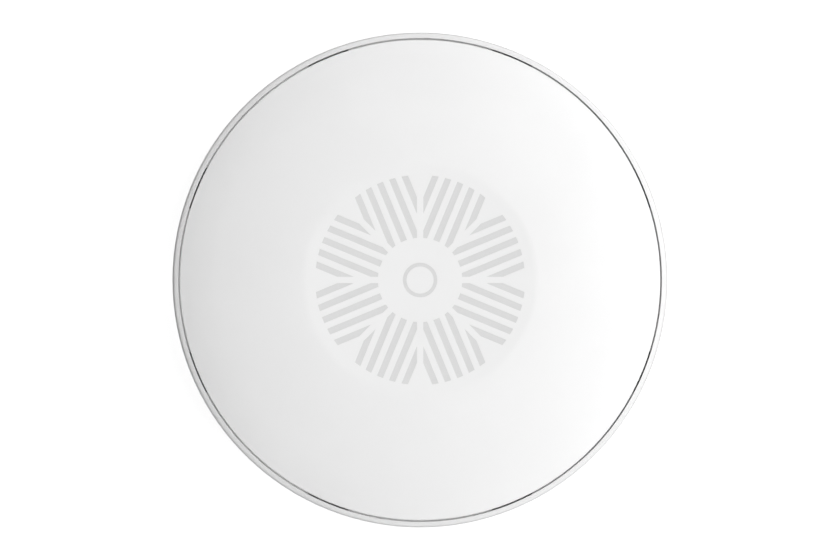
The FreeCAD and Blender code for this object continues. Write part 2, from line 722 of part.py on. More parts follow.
def detent_groove():
    """The arc that the bracket's nub runs in, with a deeper pocket at each end of its travel."""
    reach = NUB_RADIUS + GROOVE_PLAY
    inner, outer = DETENT_CIRCLE - reach, DETENT_CIRCLE + reach
    z = (RECESS_Z - 1, RECESS_Z + GROOVE_DEPTH)
    groove = sector(inner, outer, z, DETENT_ANGLE - UNLOCK_TURN / 2, UNLOCK_TURN)
    pocket_z = (RECESS_Z - 1, RECESS_Z + 2 * GROOVE_DEPTH)
    ends = [polar(DETENT_CIRCLE, DETENT_ANGLE - turn) for turn in (0, UNLOCK_TURN)]
    return [groove, *[cylinder(reach, pocket_z, end) for end in ends]]


def foot_holes(centre):
    """The seat of a rubber foot and, under it, the counterbore and hole of a housing screw."""
    return [
        cylinder(FOOT_RADIUS + SEAT_PLAY, (REAR_Z - 1, FOOT_Z[1]), centre),
        cylinder(SCREW_HEAD_RADIUS + SEAT_PLAY, (FOOT_Z[1] - OVERLAP, HOUSING_SCREW_SEAT_Z), centre),
        cylinder(SCREW_HOLE_RADIUS, (HOUSING_SCREW_SEAT_Z - OVERLAP, HOUSING_BOSS_TOP_Z + 1), centre),
    ]


def tray_cut_out(z):
    """The room that the cable tray and its channel need."""
    half = POCKET_HALF_WIDTH + WALL + TRAY_PLAY
    y = (POCKET_Y[0] - WALL - TRAY_PLAY, POCKET_Y[1] + WALL + TRAY_PLAY)
    pocket = rounded(box((-half, half), y, z), TRAY_CORNER)
    channel_half = EXIT_HALF_WIDTH + WALL + TRAY_PLAY
    channel = box((-channel_half, channel_half), (-PLATE_RADIUS - 1, y[0] + 3), z)
    return pocket.fuse(channel)


def back_plate():
    """The flat ring at the back: vents, feet, antenna posts, and the wall and lugs of the recess."""
    disc = cylinder(PLATE_RADIUS, (REAR_Z, REAR_Z + WALL))
    recess_wall = cylinder(RECESS_RADIUS + WALL, (REAR_Z, RECESS_Z))
    feet = [polar(FOOT_CIRCLE, angle) for angle in QUARTER_ANGLES]
    bosses = [cylinder(FOOT_RADIUS, (REAR_Z, HOUSING_BOSS_TOP_Z), centre) for centre in feet]
    posts = [post for angle, kind in ANTENNAS.values() for post in antenna_posts(angle, kind)]
    solid = fused([disc, recess_wall, *bosses, *plate_ribs(), *posts])
    recess = cylinder(RECESS_RADIUS, (REAR_Z - 1, RECESS_Z + 1))
    vents = [vent(angle) for angle in VENT_ANGLES]
    foot_cuts = [hole for centre in feet for hole in foot_holes(centre)]
    tray_room = tray_cut_out((REAR_Z - 1, RECESS_Z + 1))
    solid = solid.cut(fused([recess, tray_room])).cut(Part.makeCompound([*vents, *foot_cuts]))
    return [fused([edges_broken(solid, REAR_Z), *plate_lugs()])]


# Board carrier


def screw_post(centre, top):
    return cylinder(POST_RADIUS, (CARRIER_TOP_Z - OVERLAP, top), centre)


def board_carrier():
    """The floor of the recess, welded to its wall, with the posts of the main board and the tray."""
    disc = cylinder(RECESS_RADIUS + WALL, (RECESS_Z, CARRIER_TOP_Z))
    posts = [screw_post(centre, BOARD_Z[0]) for centre in PLATE_POSTS]
    posts += [screw_post(centre, TRAY_EAR_Z[0]) for centre in TRAY_POSTS]
    pilot_z = (CARRIER_TOP_Z + WALL, BOARD_Z[0] + 1)
    pilots = [cylinder(PILOT_RADIUS, pilot_z, centre) for centre in PLATE_POSTS + TRAY_POSTS]
    tray_room = tray_cut_out((RECESS_Z - 1, CARRIER_TOP_Z + 1))
    return [fused([disc, *posts]).cut(Part.makeCompound([tray_room, *pilots, *detent_groove()]))]


# Cable tray


def pocket_space():
    half = POCKET_HALF_WIDTH
    return rounded(box((-half, half), POCKET_Y, (REAR_Z - 1, POCKET_ROOF_Z)), POCKET_CORNER)


def cable_exit():
    """The round-topped way out of the pocket through the side of the housing."""
    y = (-OUTER_RADIUS - 1, POCKET_Y[0] + OVERLAP)
    spring_z = EXIT_TOP_Z - EXIT_HALF_WIDTH
    slot = box((-EXIT_HALF_WIDTH, EXIT_HALF_WIDTH), y, (REAR_Z - 1, spring_z))
    return slot.fuse(rod_along_y(EXIT_HALF_WIDTH, 0, y, spring_z))


def exit_channel():
    """The exit's walls, which step over the ring's lower lip."""
    half = EXIT_HALF_WIDTH + WALL
    step_z = FLANGE_Z[1] + CHANNEL_STEP
    low = box((-half, half), (CHANNEL_START_Y, POCKET_Y[0]), (REAR_Z, step_z + OVERLAP))
    high = box((-half, half), (CHANNEL_START_Y - CHANNEL_REACH, POCKET_Y[0]), (step_z, EXIT_TOP_Z + WALL))
    return low.fuse(high)


def tray_ears():
    """Ears that two of the main board's screws hold down on their posts."""
    ears = []
    for x, y in TRAY_POSTS:
        side = math.copysign(1, x)
        arm_x = sorted((side * (POCKET_HALF_WIDTH + WALL / 2), x))
        arm = box(arm_x, (y - POST_RADIUS, y + POST_RADIUS), TRAY_EAR_Z)
        ears.append(arm.fuse(cylinder(POST_RADIUS, TRAY_EAR_Z, (x, y))))
    return ears


def cable_tray():
    half = POCKET_HALF_WIDTH + WALL
    y = (POCKET_Y[0] - WALL, POCKET_Y[1] + WALL)
    walls = rounded(box((-half, half), y, (REAR_Z, POCKET_ROOF_Z + WALL)), TRAY_CORNER)
    solid = fused([walls, exit_channel(), *tray_ears()])
    jack_half = JACK_HALF_WIDTH + JACK_HOLE_PLAY
    wall_y = (POCKET_Y[1] - OVERLAP, POCKET_Y[1] + WALL + OVERLAP)
    jack_hole = box((-jack_half, jack_half), wall_y, (CARRIER_TOP_Z, POCKET_ROOF_Z))
    reset_hole = rod_along_y(RESET_HOLE_RADIUS, RESET_X, wall_y, RESET_Z)
    recess = cylinder(RECESS_RADIUS, (REAR_Z - 1, RECESS_Z))
    ear_hole_z = (TRAY_EAR_Z[0] - 1, TRAY_EAR_Z[1] + 1)
    ear_holes = [cylinder(SCREW_HOLE_RADIUS, ear_hole_z, centre) for centre in TRAY_POSTS]
    holes = [pocket_space(), cable_exit(), jack_hole, reset_hole, recess, *ear_holes]
    return [edges_broken(solid.cut(Part.makeCompound(holes)), REAR_Z)]


# What goes on the back plate


def rubber_feet():
    feet = [cylinder(FOOT_RADIUS, FOOT_Z, polar(FOOT_CIRCLE, angle)) for angle in QUARTER_ANGLES]
    low = [[e for e in foot.Edges if e.BoundBox.ZMax < FOOT_Z[0] + 1e-6] for foot in feet]
    return [foot.makeFillet(FOOT_ROUNDING, edges) for foot, edges in zip(feet, low)]


def rating_label():
    return [rounded(box(LABEL_X, LABEL_Y, (RECESS_Z - LABEL_THICKNESS, RECESS_Z)), LABEL_CORNER)]


def housing_screws():
    """Screws that point up through the back plate into the ring's ears, hidden by the feet."""
    screws = [screw((0, 0), 0.0) for _ in QUARTER_ANGLES]
    for screw_solid, angle in zip(screws, QUARTER_ANGLES):
        screw_solid.rotate(Vector(), Vector(1, 0, 0), 180)
        screw_solid.translate(Vector(*polar(FOOT_CIRCLE, angle), HOUSING_SCREW_SEAT_Z))
    return screws


# Mounting bracket


def bracket_hole_centres():
    half = BRACKET_HOLE_SPACING / 2
    return [(x, y) for x in (-half, half) for y in (-half, half)]


def bracket_holes():
    """Four round screw holes, two slots for a wall box, and the U-shaped way in for the cable."""
    z = (-1, BRACKET_LUG_Z[1] + 1)
    holes = [cylinder(BRACKET_HOLE_RADIUS, z, centre) for centre in bracket_hole_centres()]
    reach = BRACKET_SLOT_LENGTH / 2 - BRACKET_SLOT_RADIUS
    for x in (-BRACKET_HOLE_SPACING / 2, BRACKET_HOLE_SPACING / 2):
        ends = [cylinder(BRACKET_SLOT_RADIUS, z, (x + side * reach, 0)) for side in (-1, 1)]
        holes.append(block((x, 0), (2 * reach, 2 * BRACKET_SLOT_RADIUS), z).multiFuse(ends))
    cable_hole = cylinder(CABLE_HOLE_RADIUS, z)
    notch = box((-CABLE_HOLE_RADIUS, CABLE_HOLE_RADIUS), (-BRACKET_LUG_RADIUS, 0), z)
    return [*holes, cable_hole, notch]


def finger_slots():
    """The U-shaped cut that frees the detent finger from the plate."""
    z = (-1, BRACKET_PLATE + 1)
    inner, outer = FINGER_RADII
    tip_angle = DETENT_ANGLE + FINGER_TIP_REACH
    middle, width = (FINGER_START_ANGLE + tip_angle) / 2, tip_angle - FINGER_START_ANGLE
    return [
        sector(inner - FINGER_SLOT_WIDTH, inner, z, middle, width),
        sector(outer, outer + FINGER_SLOT_WIDTH, z, middle, width),
        sector(inner - FINGER_SLOT_WIDTH, outer + FINGER_SLOT_WIDTH, z, tip_angle, FINGER_TIP_SLOT),
    ]


def bracket_lug(angle):
    """A lug that holds the housing's lug up, with a stop that the housing's lug turns against."""
    stop_width = LUG_STOP_PLAY + LUG_STOP_WIDTH
    inner = BRACKET_RADIUS - 1
    lug = sector(inner, BRACKET_LUG_RADIUS, BRACKET_LUG_Z, angle - stop_width / 2, LUG_WIDTH + stop_width)
    stop_angle = angle - LUG_WIDTH / 2 - stop_width + LUG_STOP_WIDTH / 2
    stop_z = (REAR_Z + 0.4, BRACKET_LUG_Z[1])
    return lug.fuse(sector(inner, BRACKET_LUG_RADIUS, stop_z, stop_angle, LUG_STOP_WIDTH))


def mounting_bracket():
    rim_radius = BRACKET_RADIUS - BRACKET_RIM_WIDTH
    plate = cylinder(BRACKET_RADIUS, (0, BRACKET_PLATE))
    rim = ring(rim_radius, BRACKET_RADIUS, (0, BRACKET_LUG_Z[1]))
    rib_z = (BRACKET_PLATE - OVERLAP, BRACKET_PLATE + BRACKET_RIB_HEIGHT)
    collar = ring(CABLE_HOLE_RADIUS, CABLE_HOLE_RADIUS + BRACKET_RIM_WIDTH, rib_z)
    half = BRACKET_RIB_THICKNESS / 2
    bar = box((CABLE_HOLE_RADIUS + 1, rim_radius + OVERLAP), (-half, half), rib_z)
    ribs = [turned(bar, angle) for angle in BRACKET_RIB_ANGLES]
    bosses = [cylinder(BRACKET_BOSS_RADIUS, rib_z, centre) for centre in bracket_hole_centres()]
    nub = cylinder(NUB_RADIUS, (BRACKET_PLATE - OVERLAP, NUB_TOP_Z), polar(DETENT_CIRCLE, DETENT_ANGLE))
    lugs = [bracket_lug(angle) for angle in QUARTER_ANGLES]
    solid = fused([plate, rim, collar, rounded(nub, NUB_ROUNDING, False), *lugs, *ribs, *bosses])
    return [edges_broken(solid.cut(Part.makeCompound(bracket_holes() + finger_slots())), 0.0)]


# Main board and what is soldered to it


def main_board():
    disc = cylinder(BOARD_RADIUS, BOARD_Z)
    half = POCKET_HALF_WIDTH + WALL + BOARD_CLEARANCE
    through = (BOARD_Z[0] - 1, BOARD_Z[1] + 1)
    bay = box((-half, half), (-BOARD_RADIUS - 1, POCKET_Y[1] + WALL + BOARD_CLEARANCE), through)
    posts = PLATE_POSTS + TRAY_POSTS + HEAT_SINK_POSTS
    holes = [cylinder(SCREW_HOLE_RADIUS, through, centre) for centre in posts]
    return [disc.cut(Part.makeCompound([bay, *holes]))]


def screw(centre, seat_z):
    """A pan-head screw pointing down, with a cross recess. Its head sits at seat_z."""
    top = seat_z + SCREW_HEAD_HEIGHT
    head = rounded(cylinder(SCREW_HEAD_RADIUS, (seat_z, top), centre), SCREW_HEAD_ROUNDING, False)
    shank = cylinder(SCREW_RADIUS, (seat_z - SCREW_LENGTH, seat_z + OVERLAP), centre)
    slot_z = (top - CROSS_DEPTH, top + 1)
    slots = [block(centre, size, slot_z) for size in (CROSS_SIZE, CROSS_SIZE[::-1])]
    return head.fuse(shank).cut(Part.makeCompound(slots))


def board_screws():
    return [screw(centre, BOARD_Z[1]) for centre in PLATE_POSTS + TRAY_POSTS + HEAT_SINK_POSTS]


def heat_sink():
    plate = box(HEAT_SINK_X, HEAT_SINK_Y, HEAT_SINK_Z)
    step = (HEAT_SINK_X[1] - HEAT_SINK_X[0] - FIN_THICKNESS) / (FIN_COUNT - 1)
    starts = [HEAT_SINK_X[0] + i * step for i in range(FIN_COUNT)]
    fin_z = (FIN_LOW_Z, HEAT_SINK_Z[0] + OVERLAP)
    fins = [box((x, x + FIN_THICKNESS), HEAT_SINK_Y, fin_z) for x in starts]
    boss_z = (HEAT_SINK_Z[1] - OVERLAP, BOARD_Z[0])
    bosses = [cylinder(HEAT_SINK_BOSS_RADIUS, boss_z, centre) for centre in HEAT_SINK_POSTS]
    pilot_z = (HEAT_SINK_PILOT_Z, BOARD_Z[0] + 1)
    holes = [cylinder(PILOT_RADIUS, pilot_z, centre) for centre in HEAT_SINK_POSTS]
    return [fused([plate, *fins, *bosses]).cut(Part.makeCompound(holes))]


def can(centre, size, z, opens_up):
    """A thin pressed lid, open towards the board."""
    outer = rounded(block(centre, size, z), CAN_CORNER)
    shift = CAN_WALL if opens_up else -CAN_WALL
    inner_size = (size[0] - 2 * CAN_WALL, size[1] - 2 * CAN_WALL)
    return outer.cut(block(centre, inner_size, (z[0] + shift, z[1] + shift)))


def processor_shield():
    centre, size, height = PROCESSOR_CAN
    return [can(centre, size, (BOARD_Z[0] - height, BOARD_Z[0]), True)]


def radio_shield(kind):
    z = (BOARD_Z[1], BOARD_Z[1] + RADIO_CAN_HEIGHT)
    return [can(RADIO_CANS[kind], RADIO_CAN_SIZE, z, False)]


def radio_chips(kind):
    """A radio chip and the amplifier beside it, under one shield."""
    x, y = RADIO_CANS[kind]
    away = math.copysign(1, x)
    chip = on_board((x - away * RADIO_CHIP_OFFSET, y), RADIO_CHIP_SIZE, RADIO_CHIP_HEIGHT)
    amplifier_x = x + away * AMPLIFIER_OFFSET[0]
    places = [(amplifier_x, y + side * AMPLIFIER_OFFSET[1]) for side in (-1, 1)]
    return [chip, *[on_board(place, AMPLIFIER_SIZE, RADIO_CHIP_HEIGHT) for place in places]]


def hanging(heights):
    """Turns a (low, high) pair of heights off the back of the board into a Z range."""
    return BOARD_Z[0] - heights[1], BOARD_Z[0] - heights[0]


def under_board(centre, size, height):
    """A part soldered to the back of the board."""
    return block(centre, size, hanging((0, height)))


def on_board(centre, size, height):
    """A part soldered to the front of the board."""
    return block(centre, size, (BOARD_Z[1], BOARD_Z[1] + height))


def processor():
    return [under_board(*PROCESSOR)]


def memory_chip():
    return [under_board(*MEMORY_CHIP)]


def flash_chip():
    return [under_board(*FLASH_CHIP)]


def processor_pad():
    lid_z = BOARD_Z[0] - PROCESSOR_CAN[2] + CAN_WALL
    return [block(PROCESSOR[0], PROCESSOR_PAD_SIZE, (lid_z, BOARD_Z[0] - PROCESSOR[2]))]


def heat_sink_pad():
    lid_z = BOARD_Z[0] - PROCESSOR_CAN[2]
    return [block(PROCESSOR[0], HEAT_SINK_PAD_SIZE, (HEAT_SINK_Z[1], lid_z))]


def chip_on_leads(centre, size, height):
    """A chip's body, held off the back of the board by its leads."""
    return block(centre, size, hanging((CHIP_STANDOFF, height)))


def lan_transformer():
    return [chip_on_leads(*LAN_TRANSFORMER)]


def power_chips():
    return [chip_on_leads(*chip) for chip in POWER_CHIPS]


def lead_row(centre, size, height, count, pitch):
    """Bent leads along a chip's two long sides, from its waist out to the board."""
    leads = []
    waist = BOARD_Z[0] - height / 2
    half = CHIP_LEAD_THICKNESS / 2
    foot = BOARD_Z[0] - CHIP_LEAD_THICKNESS
    for i in range(count):
        x = centre[0] + (i - (count - 1) / 2) * pitch
        for side in (-1, 1):
            face = centre[1] + side * size[1] / 2
            knee = face + side * CHIP_LEAD_KNEE
            toe = face + side * CHIP_LEAD_TOE
            heel = knee - side * CHIP_LEAD_THICKNESS
            outline = [(face, waist - half), (knee, waist - half), (knee, foot), (toe, foot)]
            outline += [(toe, BOARD_Z[0]), (heel, BOARD_Z[0]), (heel, waist + half), (face, waist + half)]
            leads.append(prism_along_x(outline, (x - CHIP_LEAD_WIDTH / 2, x + CHIP_LEAD_WIDTH / 2)))
    return leads


def chip_leads():
    chips = [LAN_TRANSFORMER, *POWER_CHIPS]
    return [lead for chip, row in zip(chips, CHIP_LEADS) for lead in lead_row(*chip, *row)]


def poe_transformer_core():
    """Two E-shaped ferrite halves round the winding, with a middle leg through it."""
    low, high = hanging(CORE_HEIGHT)
    side, yoke = CORE_THICKNESS
    outer = rounded(block(TRANSFORMER_CENTRE, CORE_SIZE, (low, high)), CAN_CORNER / 2)
    inner_size = (CORE_SIZE[0] - 2 * side, CORE_SIZE[1] + 1)
    inner = block(TRANSFORMER_CENTRE, inner_size, (low + yoke, high - yoke))
    leg = block(TRANSFORMER_CENTRE, (CORE_LEG_WIDTH, CORE_SIZE[1]), (low + yoke / 2, high - yoke / 2))
    return [outer.cut(inner).fuse(leg)]


def poe_transformer_winding():
    """The taped winding on its bobbin, which stands on two rows of pins."""
    z = hanging(WINDING_HEIGHT)
    winding = rounded(block(TRANSFORMER_CENTRE, WINDING_SIZE, z), WINDING_CORNER)
    leg_hole = block(TRANSFORMER_CENTRE, (CORE_LEG_WIDTH + 2 * BOBBIN_PLAY, WINDING_SIZE[1] + 1), z)
    return [winding.cut(leg_hole)]


def poe_transformer_bobbin():
    """The bobbin's two ends, each a foot with a cheek beside the winding."""
    x, y = TRANSFORMER_CENTRE
    foot_size, foot_offset, foot_height = BOBBIN_FOOT
    core_size = [length + 2 * BOBBIN_PLAY for length in CORE_SIZE]
    winding_size = [length + 2 * BOBBIN_PLAY for length in WINDING_SIZE]
    core_room = block((x, y), core_size, hanging((-1, CORE_HEIGHT[1] + 1)))
    low, high = WINDING_HEIGHT
    winding_room = block((x, y), winding_size, hanging((low - BOBBIN_PLAY, high + BOBBIN_PLAY)))
    ends = []
    for side in (-1, 1):
        foot = block((x, y + side * foot_offset), foot_size, hanging((0, foot_height)))
        cheek_centre = (x, y + side * BOBBIN_CHEEK_OFFSET)
        cheek = block(cheek_centre, BOBBIN_CHEEK_SIZE, hanging(BOBBIN_CHEEK_HEIGHT))
        ends.append(foot.fuse(cheek).cut(core_room).cut(winding_room))
    return ends


def capacitor_cans():
    """Aluminium cans with the pressed groove near the base."""
    cans = []
    z = hanging(CAPACITOR_HEIGHT)
    groove_radius = CAPACITOR_RADIUS - CAPACITOR_GROOVE_DEPTH
    for centre in CAPACITORS:
        groove = ring(groove_radius, CAPACITOR_RADIUS + 1, hanging(CAPACITOR_GROOVE_HEIGHT), centre)
        body = cylinder(CAPACITOR_RADIUS, z, centre)
        low = [e for e in body.Edges if e.BoundBox.ZMax < z[0] + 1e-6]
        cans.append(body.makeFillet(CAPACITOR_ROUNDING, low).cut(groove))
    return cans


def capacitor_bases():
    return [rounded(under_board(centre, *CAPACITOR_BASE), SOLDERED_CORNER) for centre in CAPACITORS]


def power_inductors():
    return [rounded(under_board(*inductor, INDUCTOR_HEIGHT), SOLDERED_CORNER) for inductor in INDUCTORS]


def grid_centres(grids):
    return [
        (first[0] + i * step[0], first[1] + j * step[1])
        for columns, rows, first, step in grids
        for i in range(columns)
        for j in range(rows)
    ]


def small_parts(front_grids, back_grids, height):
    front = [on_board(centre, SMALL_PART_SIZE, height) for centre in grid_centres(front_grids)]
    return front + [under_board(centre, SMALL_PART_SIZE, height) for centre in grid_centres(back_grids)]


def small_capacitors():
    return small_parts(FRONT_CAPACITOR_GRIDS, BACK_CAPACITOR_GRIDS, SMALL_CAPACITOR_HEIGHT)


def small_resistors():
    return small_parts(FRONT_RESISTOR_GRIDS, BACK_RESISTOR_GRIDS, SMALL_RESISTOR_HEIGHT)


def crystals():
    return [rounded(on_board(centre, CRYSTAL_SIZE, CRYSTAL_HEIGHT), CRYSTAL_CORNER) for centre in CRYSTALS]


def header_pins(play=0.0):
    x, y = HEADER_CENTRE
    centres = [(x + (i - (HEADER_PINS - 1) / 2) * HEADER_PITCH, y) for i in range(HEADER_PINS)]
    size = [2 * (PIN_HALF_WIDTH + play)] * 2
    return [on_board(centre, size, PIN_HEIGHT) for centre in centres]


def debug_header():
    body = on_board(HEADER_CENTRE, HEADER_SIZE, HEADER_HEIGHT)
    return [body.cut(Part.makeCompound(header_pins(PIN_PLAY)))]


# Network jack


def jack_shield():
    """The pressed steel shell, open at the front and towards the board."""
    half = JACK_HALF_WIDTH
    outer = box((-half, half), JACK_Y, JACK_Z)
    inner_half = half - JACK_SHELL
    inner = box(
        (-inner_half, inner_half),
        (JACK_Y[0] - 1, JACK_Y[1] - JACK_SHELL),
        (JACK_Z[0] + JACK_SHELL, JACK_Z[1] + 1),
    )
    return [outer.cut(inner)]


def port_space():
    """The plug's way in, with the latch channel on the ceiling side."""
    y = (JACK_Y[0] - 1, PORT_BACK_Y)
    hollow = box((-PORT_HALF_WIDTH, PORT_HALF_WIDTH), y, PORT_Z)
    latch = box((-LATCH_HALF_WIDTH, LATCH_HALF_WIDTH), y, (LATCH_LOW_Z, PORT_Z[0] + OVERLAP))
    return hollow.fuse(latch)


def light_pipe_boxes(gap):
    """Two short bars in the jack's lower front corners."""
    inset = JACK_PIPE_INSET - gap
    z = (JACK_Z[0] + JACK_SHELL + inset, PORT_Z[0] - inset)
    y = (JACK_Y[0], JACK_Y[0] + JACK_PIPE_LENGTH + gap)
    half = JACK_PIPE_HALF_WIDTH + gap
    return [box((side * JACK_PIPE_X - half, side * JACK_PIPE_X + half), y, z) for side in (-1, 1)]


def contact_slots():
    return Part.makeCompound([contact(i, CONTACT_PLAY) for i in range(CONTACT_COUNT)])


def jack_moulding(z):
    """A block that fills the shell from side to side and front to back."""
    half = JACK_HALF_WIDTH - JACK_SHELL - JACK_PLAY
    return box((-half, half), (JACK_Y[0], JACK_Y[1] - JACK_SHELL - JACK_PLAY), z)


def jack_body():
    body = jack_moulding((JACK_Z[0] + JACK_SHELL + JACK_PLAY, PORT_Z[1]))
    return [body.cut(port_space()).cut(Part.makeCompound(light_pipe_boxes(JACK_PIPE_PLAY)))]


def jack_insert():
    """The moulding above the port, which carries the contacts."""
    return [jack_moulding((PORT_Z[1], JACK_Z[1])).cut(contact_slots())]


def jack_light_pipes():
    return light_pipe_boxes(0.0)


def contact(index, gap=0.0):
    """A spring contact: rooted in the roof near the mouth, and falling towards the back."""
    x = (index - (CONTACT_COUNT - 1) / 2) * CONTACT_PITCH
    half = CONTACT_WIDTH / 2 + gap
    front, back = CONTACT_ROOT_Y[0] - gap, CONTACT_ROOT_Y[1] + gap
    roof, top, tip = PORT_Z[1], PORT_Z[1] + CONTACT_ROOT_HEIGHT + gap, PORT_Z[1] - CONTACT_TIP_DROP
    spring = [(CONTACT_TIP_Y, tip), (CONTACT_TIP_Y + 0.2, tip + CONTACT_THICKNESS)]
    outline = [(front, top), (front, roof - 0.2), *spring, (back, roof + 0.1), (back, top)]
    return prism_along_x(outline, (x - half, x + half))


def jack_contacts():
    return [contact(i) for i in range(CONTACT_COUNT)]


# Reset button and its switch


def reset_switch():
    x = (RESET_X - SWITCH_HALF_WIDTH, RESET_X + SWITCH_HALF_WIDTH)
    body = rounded(box(x, SWITCH_Y, (SWITCH_LOW_Z, BOARD_Z[0])), SWITCH_CORNER)
    bore_y = (SWITCH_Y[0] - 1, SWITCH_Y[0] + SWITCH_BORE_DEPTH)
    return [body.cut(rod_along_y(PLUNGER_RADIUS + PLUNGER_CLEARANCE, RESET_X, bore_y, RESET_Z))]


def reset_plunger():
    return [rod_along_y(PLUNGER_RADIUS, RESET_X, (RESET_FLANGE_Y[1], SWITCH_Y[0] + PLUNGER_DEPTH), RESET_Z)]


def reset_button():
    front_y = POCKET_Y[1] - RESET_CAP_REACH
    cap = rod_along_y(RESET_CAP_RADIUS, RESET_X, (front_y, RESET_FLANGE_Y[1]), RESET_Z)
    front = [e for e in cap.Edges if e.BoundBox.YMax < front_y + 1e-6]
    flange = rod_along_y(RESET_FLANGE_RADIUS, RESET_X, RESET_FLANGE_Y, RESET_Z)
    return [cap.makeFillet(RESET_CAP_ROUNDING, front).fuse(flange).removeSplitter()]


# Antennas and their leads


def antenna_board(angle, kind):
    length, width, half_spacing = ANTENNA_SIZES[kind]
    board = rounded(block((0, 0), (width, length), ANTENNA_Z), ANTENNA_CORNER)
    hole_z = (ANTENNA_Z[0] - 1, ANTENNA_Z[1] + 1)
    hole_radius = ANTENNA_PIN_RADIUS + ANTENNA_PIN_PLAY
    holes = [cylinder(hole_radius, hole_z, (0, y)) for y in (-half_spacing, half_spacing)]
    board = board.cut(Part.makeCompound(holes))
    board.Placement = antenna_placement(angle).multiply(board.Placement)
    return [board]


def copper_arms(angle, kind):
    """Two folded dipole arms printed on an antenna board, either side of the feed."""
    length, width, half_spacing = ANTENNA_SIZES[kind]
    z = (ANTENNA_Z[1], ANTENNA_Z[1] + COPPER)
    arms = []
    for side in (-1, 1):
        inner, outer = side * COPPER_FEED_GAP, side * (half_spacing - COPPER_END_GAP)
        far = width / 2 - COPPER_EDGE
        stem_y = sorted((inner, inner + side * COPPER_WIDTH))
        tail_y = sorted((outer - side * COPPER_WIDTH, outer))
        stem = box((COPPER_STEM_EDGE - width / 2, far), stem_y, z)
        top = box((far - COPPER_WIDTH, far), sorted((inner, outer)), z)
        tail = box((COPPER_TAIL_EDGE - width / 2, far), tail_y, z)
        arm = fused([stem, top, tail])
        arm.Placement = antenna_placement(angle).multiply(arm.Placement)
        arms.append(arm)
    return arms


def antenna_copper():
    return [arm for angle, kind in ANTENNAS.values() for arm in copper_arms(angle, kind)]


def socket_places():
    """Each socket's centre, and the way that its plug points along Y."""
    places = []
    for x in (-SOCKET_X, SOCKET_X):
        places += [((x, UPPER_SOCKET_Y), 1), ((x, LOWER_SOCKET_Y), -1)]
    return places


def antenna_sockets():
    sockets = []
    for centre, _ in socket_places():
        base = on_board(centre, *SOCKET_BASE)
        z = (BOARD_Z[1] + OVERLAP, BOARD_Z[1] + SOCKET_HEIGHT)
        barrel = ring(*SOCKET_RADII, z, centre)
        pin = cylinder(SOCKET_PIN_RADIUS, z, centre)
        sockets.append(fused([base, barrel, pin]))
    return sockets


def antenna_plugs():
    """Press-on caps with a crimped neck that the lead runs into."""
    plugs = []
    inner, outer = PLUG_RADII
    low, high = (BOARD_Z[1] + height for height in PLUG_HEIGHTS)
    half_width, half_height = PLUG_NECK_HALF_SIZE
    for (x, y), way in socket_places():
        cap = cylinder(outer, (low, high), (x, y))
        neck_y = sorted((y, y + way * PLUG_REACH))
        neck = box((x - half_width, x + half_width), neck_y, (LEAD_Z - half_height, LEAD_Z + half_height))
        hollow = cylinder(inner, (low - 1, BOARD_Z[1] + SOCKET_HEIGHT + JACK_PLAY), (x, y))
        plugs.append(cap.fuse(neck).removeSplitter().cut(hollow))
    return plugs


def lead_path(points):
    """Straight runs joined by arcs as large as each pair of runs allows."""
    corners = [Vector(x, y, LEAD_Z) for x, y in points]
    edges = []
    here = corners[0]
    for before, corner, after in zip(corners, corners[1:], corners[2:]):
        back = (before - corner).normalize()
        ahead = (after - corner).normalize()
        reach = 0.45 * min(corner.distanceToPoint(before), corner.distanceToPoint(after))
        half_turn = (math.pi - back.getAngle(ahead)) / 2
        radius = reach / math.tan(half_turn)
        print(f"lead bend at {tuple(corner)}: radius {radius:.1f}")
        bisector = (back + ahead).normalize()
        middle = corner + bisector * (radius / math.cos(half_turn) - radius)
        start, end = corner + back * reach, corner + ahead * reach
        edges += [Part.LineSegment(here, start).toShape(), Part.Arc(start, middle, end).toShape()]
        here = end
    edges.append(Part.LineSegment(here, corners[-1]).toShape())
    return Part.Wire(edges)


def antenna_lead(points):
    path = lead_path(points)
    start = Vector(*points[0], LEAD_Z)
    direction = Vector(*points[1], LEAD_Z) - start
    circle = Part.Wire([Part.Circle(start, direction, LEAD_RADIUS).toShape()])
    tube = path.makePipeShell([circle], True, True)
    expected = math.pi * LEAD_RADIUS**2 * path.Length
    print(f"lead of {path.Length:.1f} mm: volume {tube.Volume / expected:.3f} of section times length")
    return [tube]


def lead_clips():
    """Saddles on the main board that the two long leads snap into."""
    clips = []
    x, y = CLIP_CENTRE
    top = LEAD_Z + CLIP_WALL
    body = rounded(block((x, y), CLIP_SIZE, (BOARD_Z[1], top)), CLIP_CORNER)
    bore = rod_along_y(LEAD_RADIUS + CLIP_PLAY, x, (y - CLIP_SIZE[1], y + CLIP_SIZE[1]), LEAD_Z)
    slot = block((x, y), (CLIP_SLOT_WIDTH, 2 * CLIP_SIZE[1]), (LEAD_Z, top + 1))
    for side in (-1, 1):
        clip = body.cut(Part.makeCompound([bore, slot]))
        clips.append(clip if side > 0 else clip.mirror(Vector(), Vector(1, 0, 0)))
    return clips


# Status light


def status_led():
    return [block((0, 0), LED_SIZE, (BOARD_Z[1], LED_TOP_Z))]


def light_pipe():
    flange = cylinder(PIPE_FLANGE_RADIUS, (PIPE_Z[0], BOSS_LOW_Z - PIPE_FLANGE_GAP))
    return [cylinder(PIPE_RADIUS, PIPE_Z).fuse(flange).removeSplitter()]


def light_gasket():
    return [ring(*GASKET_RADII, (BOARD_Z[1], PIPE_Z[0]))]


